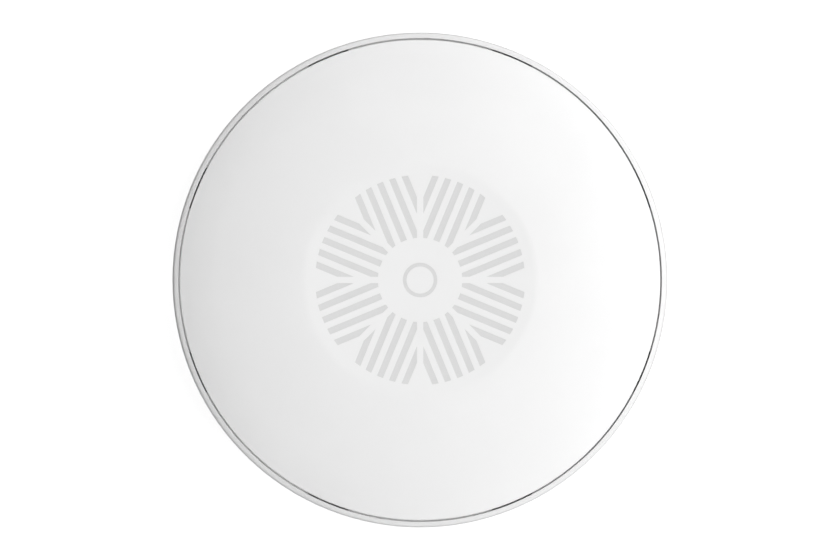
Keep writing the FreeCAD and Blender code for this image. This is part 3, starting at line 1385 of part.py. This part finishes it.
NODES = {
    "front_cover": front_cover(),
    "stripe_inlay": stripe_inlay(),
    "side_ring": side_ring(),
    "back_plate": back_plate(),
    "board_carrier": board_carrier(),
    "cable_tray": cable_tray(),
    "housing_screws": housing_screws(),
    "rubber_feet": rubber_feet(),
    "rating_label": rating_label(),
    "mounting_bracket": mounting_bracket(),
    "main_board": main_board(),
    "board_screws": board_screws(),
    "heat_sink": heat_sink(),
    "heat_sink_pad": heat_sink_pad(),
    "processor": processor(),
    "processor_pad": processor_pad(),
    "processor_shield": processor_shield(),
    "memory_chip": memory_chip(),
    "flash_chip": flash_chip(),
    "radio_chips_2g": radio_chips("2g"),
    "radio_chips_5g": radio_chips("5g"),
    "radio_shield_2g": radio_shield("2g"),
    "radio_shield_5g": radio_shield("5g"),
    "lan_transformer": lan_transformer(),
    "power_chips": power_chips(),
    "chip_leads": chip_leads(),
    "poe_transformer_core": poe_transformer_core(),
    "poe_transformer_winding": poe_transformer_winding(),
    "poe_transformer_bobbin": poe_transformer_bobbin(),
    "capacitor_cans": capacitor_cans(),
    "capacitor_bases": capacitor_bases(),
    "power_inductors": power_inductors(),
    "small_capacitors": small_capacitors(),
    "small_resistors": small_resistors(),
    "crystals": crystals(),
    "debug_header": debug_header(),
    "header_pins": header_pins(),
    "jack_shield": jack_shield(),
    "jack_body": jack_body(),
    "jack_insert": jack_insert(),
    "jack_contacts": jack_contacts(),
    "jack_light_pipes": jack_light_pipes(),
    "reset_switch": reset_switch(),
    "reset_plunger": reset_plunger(),
    "reset_button": reset_button(),
    "antenna_copper": antenna_copper(),
    "antenna_sockets": antenna_sockets(),
    "antenna_plugs": antenna_plugs(),
    "antenna_lead_2g_upper": antenna_lead(mirrored_x(UPPER_ROUTE)),
    "antenna_lead_2g_lower": antenna_lead(mirrored_x(LOWER_ROUTE)),
    "antenna_lead_5g_upper": antenna_lead(UPPER_ROUTE),
    "antenna_lead_5g_lower": antenna_lead(LOWER_ROUTE),
    "lead_clips": lead_clips(),
    "status_led": status_led(),
    "light_pipe": light_pipe(),
    "light_gasket": light_gasket(),
}
NODES.update({name: antenna_board(angle, kind) for name, (angle, kind) in ANTENNAS.items()})

os.makedirs("parts", exist_ok=True)
for name, solids in NODES.items():
    shape = solids[0] if len(solids) == 1 else Part.makeCompound(solids)
    problems = [s for s in shape.Solids if not s.isValid() or s.Volume <= 0]
    print(f"{name}: {len(shape.Solids)} solids, {shape.Volume:.1f} mm3, {len(problems)} bad")
    shape.exportStep(f"parts/{name}.step")
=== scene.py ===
import json
import math

import bpy
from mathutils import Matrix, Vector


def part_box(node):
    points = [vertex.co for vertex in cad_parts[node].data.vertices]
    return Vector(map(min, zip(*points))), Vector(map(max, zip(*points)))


# A round ceiling access point, lying face up on a pale floor and seen from straight above.
# Lengths are in metres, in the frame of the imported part: +Z points out of the unit's front.

MM = 0.001

# Camera: the picture is this wide at the height of the rim
PICTURE_WIDTH = 304.55 * MM
LENS = 135.0
SENSOR = 36.0
NEAR_CLIP = 10 * MM

# Light
WORLD_STRENGTH = 0.12
BACKDROP_STRENGTH = 1.0  # what the camera sees beyond the floor
LAMPS = {  # azimuth, elevation and width in degrees, and strength
    "key": (4.5, 41.0, 70.0, 3.04),
    "fill_upper": (90.0, 13.0, 40.0, 1.6),
    "fill_lower": (270.0, 13.0, 40.0, 1.6),
    "fill_left": (180.0, 8.0, 40.0, 0.6),
}
FLOOR_HALF_WIDTH = 3.0
FLOOR_COLOR = 0.5
FLOOR_ROUGHNESS = 0.9
FLOOR_GLOW = 0.8
FLOOR_PAINTED_SHADOW_REACH = 7 * MM  # painted contact shadow: the glow fades this close to the object
FLOOR_PAINTED_SHADOW_SAMPLES = 8
FLOOR_BOUNCE_COLOR = 0.17  # how pale the floor is to everything but the camera

# Rounded edges
EDGE_SAMPLES = 4
EDGE_FACING = (0.995, 0.85)  # from no edge to a full edge, as rounded normal against flat
SPECK_CORE = 0.7  # share of a speck's radius that is solid

# Moulded plastic
PLASTIC_IOR = 1.53
EDGE_RADIUS = 0.25 * MM
SMALL_EDGE_RADIUS = 0.12 * MM  # on small mouldings and on metal
EDGE_HIGHLIGHT_AND_RUB = 0.35  # how much of the brighter colour an edge takes: a painted edge highlight, and rub wear
MOTTLE_SIZE = 38 * MM
MOTTLE_AMOUNT = 0.012
SHEEN_PATCH = 7 * MM
SHEEN_SPREAD = 0.05
FLOW_MARK_SIZE = 26 * MM
FLOW_MARK_DEPTH = 0.02 * MM
COVER_GRAIN = (0.32 * MM, 0.02 * MM)  # size and depth
HOUSING_GRAIN = (0.45 * MM, 0.035 * MM)
BRACKET_GRAIN = (0.7 * MM, 0.05 * MM)
HOUSING_PAINTED_SHADE = -0.06  # painted shade: the housing's white made darker by this share, against the record's colour, so the rim's edge reads darker
DUST_STRENGTH = 0.25

# Other indices of refraction
FLUOROPOLYMER_IOR = 1.35
ACRYLIC_IOR = 1.49

# Label
LABEL_CORNER = 2.0 * MM
LABEL_BORDER = 1.5 * MM
LABEL_LINE = (0.1 * MM, 0.2 * MM)  # half its width, to where it ends

# Second colours, laid over the record's own
WHITE = (1.0, 1.0, 1.0, 1.0)
GLASS_FIBRE = (0.2, 0.2, 0.21, 1.0)
RESIN_STREAK = (0.13, 0.09, 0.06, 1.0)
SILICA_GRAIN = (0.11, 0.11, 0.12, 1.0)
LABEL_INK = (0.35, 0.36, 0.38, 1.0)
TRACK_GREEN = (0.06, 0.32, 0.15, 1.0)
VIA_TIN = (0.66, 0.65, 0.6, 1.0)
PHOSPHOR_GRAIN = (0.86, 0.7, 0.2, 1.0)
RUBBED_GOLD = (0.78, 0.72, 0.55, 1.0)
DULL_COPPER = (0.5, 0.26, 0.15, 1.0)


class Look:
    """A node material with a Principled shader, and short ways to add the usual nodes."""

    def __init__(self, name, color, roughness=0.5):
        self.material = bpy.data.materials.new(name)
        self.material.use_nodes = True
        self.nodes = self.material.node_tree.nodes
        self.links = self.material.node_tree.links
        self.shader = self.nodes["Principled BSDF"]
        self.color = (*color, 1.0)
        self.set("Base Color", self.color)
        self.set("Roughness", roughness)
        self.place = self.add("TexCoord").outputs["Object"]
        self.normal = None

    def set(self, socket, value):
        """Sets one of the shader's own sockets to a plain value."""
        self.shader.inputs[socket].default_value = value

    def recolor(self, color):
        """Changes the colour that the later shades start from."""
        self.color = color
        self.set("Base Color", color)

    def feed(self, socket, output):
        self.links.new(output, self.shader.inputs[socket])

    def join(self, value, socket):
        """Links an output to a socket, or sets the socket to a plain value."""
        if isinstance(value, bpy.types.NodeSocket):
            self.links.new(value, socket)
        else:
            socket.default_value = value

    def add(self, kind, inputs=(), **settings):
        node = self.nodes.new("ShaderNode" + kind)
        for name, value in settings.items():
            setattr(node, name, value)
        for socket, value in dict(inputs).items():
            self.join(value, node.inputs[socket])
        return node

    # Numbers

    def math(self, operation, a, b=0.0):
        return self.add("Math", {0: a, 1: b}, operation=operation).outputs[0]

    def span(self, value, low, high, to_low=0.0, to_high=1.0):
        """Maps a value's range smoothly onto another, and holds it there."""
        inputs = {
            "Value": value,
            "From Min": low,
            "From Max": high,
            "To Min": to_low,
            "To Max": to_high,
        }
        return self.add("MapRange", inputs, interpolation_type="SMOOTHSTEP").outputs["Result"]

    def axis(self, index):
        """One coordinate of the surface point."""
        return self.add("SeparateXYZ", {0: self.place}).outputs[index]

    def scaled(self, x, y, z):
        """The surface point with its axes stretched, for streaks."""
        inputs = {0: self.place, 1: (x, y, z)}
        return self.add("VectorMath", inputs, operation="MULTIPLY").outputs["Vector"]

    # Patterns

    def noise(self, size, detail=3.0, roughness=0.5, where=None):
        """A cloud pattern whose features are about that size."""
        inputs = {
            "Vector": where or self.place,
            "Scale": 1.0 / size,
            "Detail": detail,
            "Roughness": roughness,
        }
        return self.add("TexNoise", inputs).outputs["Fac"]

    def cells(self, size, **settings):
        """A Voronoi pattern: its distance and its random colour for each cell."""
        inputs = {"Vector": self.place, "Scale": 1.0 / size}
        node = self.add("TexVoronoi", inputs, **settings)
        return node.outputs["Distance"], node.outputs["Color"]

    def specks(self, spacing, radius):
        """Small round dots, one to a cell: 1 inside a dot."""
        distance, _ = self.cells(spacing)
        return self.span(distance, SPECK_CORE * radius / spacing, radius / spacing, 1.0, 0.0)

    def bands(self, size, axis):
        """Even waves along one axis, from 0 to 1."""
        turns = self.math("MULTIPLY", self.axis(axis), 2.0 * math.pi / size)
        return self.span(self.math("SINE", turns), -1.0, 1.0)

    # Colour, roughness and relief

    def shade(self, amount):
        """The base colour made lighter by a share, or darker by a negative one."""
        return tuple(min(1.0, c * (1.0 + amount)) for c in self.color[:3]) + (1.0,)

    def tint(self, factor, color):
        """Covers the base colour with another where the factor is 1."""
        node = self.add("Mix", data_type="RGBA")
        under = self.shader.inputs["Base Color"]
        below = under.links[0].from_socket if under.links else self.color
        for index, value in ((0, factor), (6, below), (7, color)):
            self.join(value, node.inputs[index])
        self.feed("Base Color", node.outputs[2])

    def mottle(self, size, amount):
        """Uneven colour, in soft patches."""
        pattern = self.noise(size)
        self.tint(self.span(pattern, 0.5, 0.75), self.shade(amount))
        self.tint(self.span(pattern, 0.5, 0.25), self.shade(-amount))

    def vary_roughness(self, size, low, high, where=None):
        self.feed("Roughness", self.span(self.noise(size, where=where), 0.3, 0.7, low, high))

    def round_edges(self, radius):
        """Softens sharp edges as the light sees them. Returns a mask that is 1 on an edge."""
        rounded = self.add("Bevel", {"Radius": radius}, samples=EDGE_SAMPLES).outputs["Normal"]
        flat = self.add("NewGeometry").outputs["Normal"]
        facing = self.add("VectorMath", {0: rounded, 1: flat}, operation="DOT_PRODUCT").outputs["Value"]
        self.normal = rounded
        self.feed("Normal", rounded)
        return self.span(facing, *EDGE_FACING)

    def bump(self, height, depth):
        """Adds a relief whose full height is that depth."""
        node = self.add("Bump", {"Height": height, "Distance": depth, "Strength": 1.0})
        if self.normal is not None:
            self.links.new(self.normal, node.inputs["Normal"])
        self.normal = node.outputs["Normal"]
        self.feed("Normal", self.normal)


# Plastics


def moulded(look, roughness, grain, relief, edge=EDGE_RADIUS):
    """Injection moulding: a spark-eroded grain, faint flow marks, and slightly brighter edges, painted as an
    edge highlight and as rub wear.
    """
    look.set("IOR", PLASTIC_IOR)
    look.mottle(MOTTLE_SIZE, MOTTLE_AMOUNT)
    highlight_and_rub_edges = look.round_edges(edge)
    # painted edge highlight, and rub wear: the edges take a lighter colour
    look.tint(look.math("MULTIPLY", highlight_and_rub_edges, EDGE_HIGHLIGHT_AND_RUB), look.shade(0.06))
    look.vary_roughness(SHEEN_PATCH, roughness - SHEEN_SPREAD, roughness + SHEEN_SPREAD)
    look.bump(look.noise(FLOW_MARK_SIZE, 1.0), FLOW_MARK_DEPTH)
    look.bump(look.noise(grain, 2.0), relief)


def cover_plastic(look):
    """White satin with the finest grain, and a few pinpoint flecks of dust."""
    moulded(look, 0.42, *COVER_GRAIN)
    look.tint(look.math("MULTIPLY", look.specks(9 * MM, 0.12 * MM), DUST_STRENGTH), look.shade(-0.35))


def housing_plastic(look):
    """The record's white made slightly darker as painted shade for the rim's edge, with a coarser grain,
    which the rim, the sides and the back show.
    """
    # painted shade: the same white as the cover, made darker
    look.recolor(look.shade(HOUSING_PAINTED_SHADE))
    moulded(look, 0.44, *HOUSING_GRAIN)
    look.tint(look.math("MULTIPLY", look.specks(11 * MM, 0.14 * MM), DUST_STRENGTH), look.shade(-0.3))


def bracket_plastic(look):
    """A stiffer, duller plastic: coarse grain, and darker swirls where it flowed."""
    moulded(look, 0.55, *BRACKET_GRAIN)
    swirl = look.noise(14 * MM, 6.0, 0.7)
    look.tint(look.span(swirl, 0.56, 0.7, 0.0, 0.4), look.shade(-0.07))


def stripe_print(look):
    """Matt grey ink laid flush with the cover, with the fine screen that it was printed through."""
    look.set("Roughness", 0.62)
    screen, _ = look.cells(0.24 * MM)
    look.tint(look.span(screen, 0.35, 0.8, 0.0, 0.5), look.shade(0.05))
    look.tint(look.span(look.noise(5 * MM), 0.45, 0.75, 0.0, 0.5), look.shade(-0.03))
    look.vary_roughness(3 * MM, 0.56, 0.66)
    look.bump(screen, 0.004 * MM)


def jack_plastic(look):
    """Glass-filled black: short pale fibres under a half-gloss skin."""
    moulded(look, 0.36, 0.3 * MM, 0.008 * MM, SMALL_EDGE_RADIUS)
    fibres = look.noise(0.12 * MM, 2.0, where=look.scaled(1.0, 0.08, 1.0))
    look.tint(look.span(fibres, 0.62, 0.75, 0.0, 0.35), GLASS_FIBRE)


def dark_plastic(look):
    """Plain black moulding with a dull, even grain."""
    moulded(look, 0.5, 0.25 * MM, 0.012 * MM, SMALL_EDGE_RADIUS)
    look.tint(look.span(look.noise(1.6 * MM), 0.55, 0.8, 0.0, 0.5), look.shade(0.5))


def button_plastic(look):
    """Grey moulding, with lighter patches of colour all over, as a painted sheen."""
    moulded(look, 0.4, 0.2 * MM, 0.006 * MM, 0.15 * MM)
    # painted sheen: lighter patches of colour
    look.tint(look.span(look.noise(0.8 * MM), 0.5, 0.8, 0.0, 0.6), look.shade(0.12))


def bobbin_plastic(look):
    """Phenolic: brown-black, with paler resin streaks along the flow."""
    moulded(look, 0.45, 0.3 * MM, 0.015 * MM, SMALL_EDGE_RADIUS)
    streaks = look.noise(0.6 * MM, 3.0, where=look.scaled(1.0, 0.2, 1.0))
    look.tint(look.span(streaks, 0.5, 0.75, 0.0, 0.5), RESIN_STREAK)


def chip_epoxy(look):
    """Moulding compound packed with silica: a dense pale speckle on matt black."""
    look.set("Roughness", 0.55)
    look.round_edges(0.1 * MM)
    grains, _ = look.cells(0.11 * MM)
    look.tint(look.span(grains, 0.3, 0.1, 0.0, 0.5), SILICA_GRAIN)
    look.tint(look.span(look.noise(2.5 * MM), 0.5, 0.75, 0.0, 0.6), look.shade(0.6))
    look.bump(grains, 0.006 * MM)


def winding_tape(look):
    """Glossy amber tape, wound in turns whose edges show as lines."""
    look.set("Roughness", 0.25)
    look.set("Subsurface Weight", 0.15)
    look.set("Subsurface Scale", 0.3 * MM)
    turns = look.bands(1.25 * MM, 2)
    look.tint(look.span(turns, 0.12, 0.0), look.shade(-0.45))
    look.tint(look.span(look.noise(2 * MM), 0.5, 0.75, 0.0, 0.5), look.shade(0.2))
    look.bump(look.span(turns, 0.0, 0.12), 0.03 * MM)


def lead_jacket(look):
    """Fluoropolymer jacket: waxy black with faint lines from the extruder."""
    look.set("Roughness", 0.34)
    look.set("IOR", FLUOROPOLYMER_IOR)
    lines = look.noise(0.12 * MM, 1.0, where=look.scaled(1.0, 0.05, 1.0))
    look.tint(look.span(lines, 0.5, 0.8, 0.0, 0.5), look.shade(0.35))
    look.vary_roughness(2 * MM, 0.28, 0.42)
    look.bump(lines, 0.01 * MM)


def clear_plastic(look):
    """A clear light guide: polished, with a slight haze in patches."""
    look.set("Transmission Weight", 1.0)
    look.set("IOR", ACRYLIC_IOR)
    look.vary_roughness(1.5 * MM, 0.02, 0.12)
    look.bump(look.noise(3 * MM, 1.0), 0.01 * MM)


# Soft things, films and boards


def foot_rubber(look):
    """Grey rubber: dusty, with a pebbled skin."""
    look.set("Roughness", 0.85)
    look.set("Sheen Weight", 0.25)
    pebbles, _ = look.cells(0.5 * MM)
    look.tint(look.span(look.noise(2.4 * MM), 0.45, 0.75, 0.0, 0.6), look.shade(0.18))
    look.tint(look.specks(1.4 * MM, 0.12 * MM), look.shade(0.5))
    look.bump(pebbles, 0.03 * MM)


def gasket_foam(look):
    """Closed-cell foam: round cells cut open at the surface, with painted shade in their hollows."""
    look.set("Roughness", 0.95)
    pores, _ = look.cells(0.35 * MM)
    # painted shade: the middle of each cut-open cell is darkened
    look.tint(look.span(pores, 0.45, 0.1), look.shade(-0.6))
    look.bump(pores, 0.12 * MM)


def thermal_pad(look):
    """Soft silicone with the weave of its liner pressed into it."""
    look.set("Roughness", 0.7)
    look.set("Subsurface Weight", 0.2)
    look.set("Subsurface Scale", 0.5 * MM)
    weave = look.math("MULTIPLY", look.bands(0.9 * MM, 0), look.bands(0.9 * MM, 1))
    look.tint(look.span(weave, 0.3, 0.9, 0.0, 0.4), look.shade(-0.15))
    look.mottle(6 * MM, 0.08)
    look.bump(weave, 0.03 * MM)


def label_film(look):
    """Blank polyester label: a printed border with rounded corners, and a faintly uneven film."""
    low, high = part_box("rating_label")
    middle = (low + high) / 2.0
    half = (high - low) / 2.0
    look.set("Roughness", 0.32)
    outside = []
    for index in range(2):
        distance = look.math("ABSOLUTE", look.math("SUBTRACT", look.axis(index), middle[index]))
        outside.append(look.math("SUBTRACT", distance, half[index] - LABEL_BORDER - LABEL_CORNER))
    depth = look.math("MAXIMUM", outside[0], outside[1])
    line = look.math("ABSOLUTE", look.math("SUBTRACT", depth, LABEL_CORNER))
    look.tint(look.span(line, *LABEL_LINE, 1.0, 0.0), LABEL_INK)
    look.tint(look.span(look.noise(0.5 * MM, 4.0), 0.5, 0.75, 0.0, 0.25), look.shade(-0.06))
    look.vary_roughness(4 * MM, 0.25, 0.4)
    look.bump(look.noise(8 * MM, 2.0), 0.02 * MM)


def laminate(look, weave_strength):
    """Solder mask over glass cloth, whose weave shows through."""
    look.set("Roughness", 0.3)
    look.set("Coat Weight", 0.3)
    weave = look.math("MULTIPLY", look.bands(0.8 * MM, 0), look.bands(0.8 * MM, 1))
    look.tint(look.span(weave, 0.2, 0.9, 0.0, weave_strength), look.shade(0.5))
    look.mottle(9 * MM, 0.12)
    look.vary_roughness(1.2 * MM, 0.26, 0.38)
    look.bump(weave, 0.006 * MM)


def board_laminate(look):
    """The main board: tracks under the mask, running one way or the other in each patch, and tinned vias."""
    laminate(look, 0.25)
    _, patch = look.cells(7 * MM, distance="CHEBYCHEV")
    pick = look.span(look.add("SeparateColor", {0: patch}).outputs[0], 0.49, 0.51)
    across = look.span(look.bands(0.9 * MM, 0), 0.55, 0.7)
    along = look.span(look.bands(0.9 * MM, 1), 0.55, 0.7)
    tracks = look.add("Mix", {0: pick, 2: across, 3: along}, data_type="FLOAT").outputs[0]
    look.tint(look.math("MULTIPLY", tracks, 0.6), TRACK_GREEN)
    vias = look.specks(2.6 * MM, 0.32 * MM)
    look.tint(vias, VIA_TIN)
    look.feed("Metallic", vias)
    look.bump(tracks, 0.03 * MM)
    look.bump(vias, 0.03 * MM)


def antenna_laminate(look):
    """The antenna boards: no tracks but their copper, and a plainer weave."""
    laminate(look, 0.5)
    look.tint(look.specks(3.1 * MM, 0.15 * MM), look.shade(1.2))


def ceramic(look):
    """Fired barium titanate: tan, with darker grains and a dull skin."""
    look.set("Roughness", 0.4)
    grains, _ = look.cells(0.08 * MM)
    look.tint(look.span(grains, 0.2, 0.6, 0.0, 0.4), look.shade(-0.25))
    look.mottle(1.1 * MM, 0.15)
    look.bump(grains, 0.004 * MM)


def resistor_glaze(look):
    """Black glass over the resistive film, with tiny bubbles."""
    look.set("Roughness", 0.18)
    look.tint(look.specks(0.3 * MM, 0.05 * MM), look.shade(3.0))
    look.tint(look.span(look.noise(0.7 * MM), 0.5, 0.8, 0.0, 0.6), look.shade(1.0))
    look.bump(look.noise(0.4 * MM, 1.0), 0.01 * MM)


def led_package(look):
    """Yellow phosphor in silicone, grainy and slightly see-through."""
    look.set("Roughness", 0.22)
    look.set("Subsurface Weight", 0.4)
    look.set("Subsurface Scale", 0.4 * MM)
    grains, _ = look.cells(0.09 * MM)
    look.tint(look.span(grains, 0.5, 0.1, 0.0, 0.5), PHOSPHOR_GRAIN)
    look.bump(grains, 0.004 * MM)


# Metals


def metal(look, roughness, streaks, relief, patches=0.06):
    """Bright metal with fine streaks, which the stretch of the noise turns one way."""
    look.set("Metallic", 1.0)
    look.round_edges(SMALL_EDGE_RADIUS)
    lines = look.noise(0.1 * MM, 2.0, 0.6, where=look.scaled(*streaks))
    look.tint(look.span(lines, 0.4, 0.75, 0.0, 0.35), look.shade(-0.2))
    look.mottle(5 * MM, patches)
    look.vary_roughness(0.1 * MM, roughness - 0.08, roughness + 0.08, where=look.scaled(*streaks))
    look.bump(lines, relief)


def screw_steel(look):
    """Nickel on turned steel, with a few darker pits."""
    metal(look, 0.28, (1.0, 1.0, 0.05), 0.006 * MM)
    look.tint(look.specks(0.9 * MM, 0.07 * MM), look.shade(-0.6))


def sink_aluminium(look):
    """Extruded along its fins: long die lines, and a cloudy clear anodising."""
    metal(look, 0.38, (1.0, 0.02, 1.0), 0.015 * MM)
    look.tint(look.span(look.noise(9 * MM, 4.0), 0.5, 0.75, 0.0, 0.3), look.shade(-0.12))


def shield_tin(look):
    """Tinned steel sheet: rolled grain, dull handling smudges and slight oil-canning."""
    metal(look, 0.34, (0.04, 1.0, 1.0), 0.006 * MM, 0.1)
    look.bump(look.noise(8 * MM, 1.0), 0.06 * MM)


def lead_tin(look):
    """Bright plated leads, with a frosty crystal grain."""
    metal(look, 0.25, (1.0, 1.0, 0.3), 0.006 * MM)
    _, spangle = look.cells(0.2 * MM)
    look.tint(0.12, spangle)


def crystal_can(look):
    """Plated lids with a brushed top."""
    metal(look, 0.3, (0.06, 1.0, 1.0), 0.005 * MM)


def capacitor_can(look):
    """Drawn aluminium in a clear sleeve, with lines that run up the can."""
    metal(look, 0.3, (1.0, 1.0, 0.04), 0.008 * MM)
    look.set("Coat Weight", 0.4)


def ferrite(look):
    """Ground ferrite: almost black, with grinding lines, pores darkened with painted shade, and a slight
    metal shine.
    """
    look.set("Roughness", 0.42)
    look.set("Specular IOR Level", 0.7)
    look.round_edges(0.15 * MM)
    lines = look.noise(0.12 * MM, 2.0, where=look.scaled(0.06, 1.0, 1.0))
    look.tint(look.span(lines, 0.45, 0.75, 0.0, 0.6), look.shade(0.9))
    # painted shade: pores drawn as dark dots
    look.tint(look.specks(0.5 * MM, 0.06 * MM), look.shade(-0.8))
    look.bump(lines, 0.012 * MM)


def gold_contact(look):
    """Thin gold over nickel, paler where it is rubbed."""
    metal(look, 0.2, (1.0, 0.1, 1.0), 0.003 * MM)
    look.tint(look.span(look.noise(0.6 * MM), 0.6, 0.8, 0.0, 0.4), RUBBED_GOLD)


def antenna_copper(look):
    """Etched copper that has begun to dull, in a few brown patches."""
    metal(look, 0.3, (1.0, 1.0, 1.0), 0.002 * MM)
    look.tint(look.span(look.noise(4 * MM, 2.0), 0.6, 0.85, 0.0, 0.4), DULL_COPPER)


FINISHES = {
    "cover_plastic": cover_plastic,
    "stripe_print": stripe_print,
    "housing_plastic": housing_plastic,
    "bracket_plastic": bracket_plastic,
    "foot_rubber": foot_rubber,
    "label_film": label_film,
    "board_laminate": board_laminate,
    "screw_steel": screw_steel,
    "sink_aluminium": sink_aluminium,
    "thermal_pad": thermal_pad,
    "chip_epoxy": chip_epoxy,
    "shield_tin": shield_tin,
    "lead_tin": lead_tin,
    "ferrite": ferrite,
    "winding_tape": winding_tape,
    "bobbin_plastic": bobbin_plastic,
    "capacitor_can": capacitor_can,
    "ceramic": ceramic,
    "resistor_glaze": resistor_glaze,
    "crystal_can": crystal_can,
    "header_plastic": dark_plastic,
    "gold_contact": gold_contact,
    "jack_plastic": jack_plastic,
    "clear_plastic": clear_plastic,
    "switch_plastic": dark_plastic,
    "button_plastic": button_plastic,
    "antenna_laminate": antenna_laminate,
    "antenna_copper": antenna_copper,
    "lead_jacket": lead_jacket,
    "led_package": led_package,
    "gasket_foam": gasket_foam,
}


def make_looks(record):
    """One material for each of the record's slots, in the record's colour."""
    looks = {}
    for entry in record["materials"]:
        slot = entry["slot"]
        looks[slot] = Look(slot, entry["base_color"][:3])
        FINISHES[slot](looks[slot])
    return looks


def dress(frame, looks):
    """Gives every CAD node the material that goes with its slot."""
    slots = {part["node"]: part["material_slot"] for part in frame["record"]["subparts"]}
    for name, node in frame["nodes"].items():
        node.data.materials.clear()
        node.data.materials.append(looks[slots[name]].material)


# Stage


def add_camera(rim_height):
    """Looks straight down, at the height that makes the picture as wide as it should be at the rim."""
    camera = bpy.data.objects.new("camera", bpy.data.cameras.new("camera"))
    bpy.context.scene.collection.objects.link(camera)
    camera.data.lens = LENS
    camera.data.sensor_width = SENSOR
    camera.location = (0.0, 0.0, rim_height + PICTURE_WIDTH * LENS / SENSOR)
    camera.data.clip_start = NEAR_CLIP
    bpy.context.scene.camera = camera


def add_lamps():
    """A broad soft light on the right, and low fills, with no glint, on the other three sides."""
    for name, (azimuth, elevation, width, strength) in LAMPS.items():
        sun = bpy.data.lights.new(name, "SUN")
        sun.energy = strength
        sun.angle = math.radians(width)
        lamp = bpy.data.objects.new(name, sun)
        lamp.visible_glossy = name == "key"
        bpy.context.scene.collection.objects.link(lamp)
        turn, rise = math.radians(azimuth), math.radians(elevation)
        lamp.location = (math.cos(rise) * math.cos(turn), math.cos(rise) * math.sin(turn), math.sin(rise))
        lamp.rotation_euler = lamp.location.to_track_quat("Z", "Y").to_euler()


def add_world():
    """White all round: dim as a light, and bright where it is the backdrop."""
    world = bpy.data.worlds.new("studio")
    world.use_nodes = True
    nodes, links = world.node_tree.nodes, world.node_tree.links
    sky = nodes["Background"]
    sky.inputs["Color"].default_value = WHITE
    seen = nodes.new("ShaderNodeLightPath").outputs["Is Camera Ray"]
    strength = nodes.new("ShaderNodeMapRange")
    strength.inputs["To Min"].default_value = WORLD_STRENGTH
    strength.inputs["To Max"].default_value = BACKDROP_STRENGTH
    links.new(seen, strength.inputs["Value"])
    links.new(strength.outputs["Result"], sky.inputs["Strength"])
    bpy.context.scene.world = world


def add_floor():
    """Pale paper that is brighter to the camera than it is as a light, so it looks white; its glow fades
    near the object into a painted contact shadow.
    """
    half = FLOOR_HALF_WIDTH
    corners = [(-half, -half, 0.0), (half, -half, 0.0), (half, half, 0.0), (-half, half, 0.0)]
    mesh = bpy.data.meshes.new("floor")
    mesh.from_pydata(corners, [], [(0, 1, 2, 3)])
    floor = bpy.data.objects.new("floor", mesh)
    bpy.context.scene.collection.objects.link(floor)
    look = Look("floor_paper", (FLOOR_COLOR,) * 3, FLOOR_ROUGHNESS)
    look.set("Emission Color", WHITE)
    reach = {"Distance": FLOOR_PAINTED_SHADOW_REACH}
    # painted contact shadow: ambient occlusion darkens the floor's glow near the object
    painted_shadow_factor = look.add("AmbientOcclusion", reach, samples=FLOOR_PAINTED_SHADOW_SAMPLES).outputs["AO"]
    look.feed("Emission Strength", look.math("MULTIPLY", painted_shadow_factor, FLOOR_GLOW))
    look.set("Specular IOR Level", 0.0)
    dim = look.add("BsdfDiffuse", {"Color": (*(FLOOR_BOUNCE_COLOR,) * 3, 1.0)})
    seen = look.add("LightPath").outputs["Is Camera Ray"]
    both = look.add("MixShader", {0: seen, 1: dim.outputs[0], 2: look.shader.outputs[0]})
    look.links.new(both.outputs[0], look.nodes["Material Output"].inputs["Surface"])
    mesh.materials.append(look.material)


with open("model.json") as file:
    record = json.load(file)
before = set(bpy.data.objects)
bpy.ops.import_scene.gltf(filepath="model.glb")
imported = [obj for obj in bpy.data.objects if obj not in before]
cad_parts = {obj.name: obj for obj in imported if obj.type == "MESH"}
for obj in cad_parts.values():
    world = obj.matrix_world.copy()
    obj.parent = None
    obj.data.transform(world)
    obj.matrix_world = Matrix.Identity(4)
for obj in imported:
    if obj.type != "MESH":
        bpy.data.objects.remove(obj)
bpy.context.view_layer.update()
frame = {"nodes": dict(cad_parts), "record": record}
bpy.context.scene.view_settings.view_transform = "Standard"
add_camera(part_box("side_ring")[1].z)
add_lamps()
add_world()
add_floor()
dress(frame, make_looks(frame["record"]))
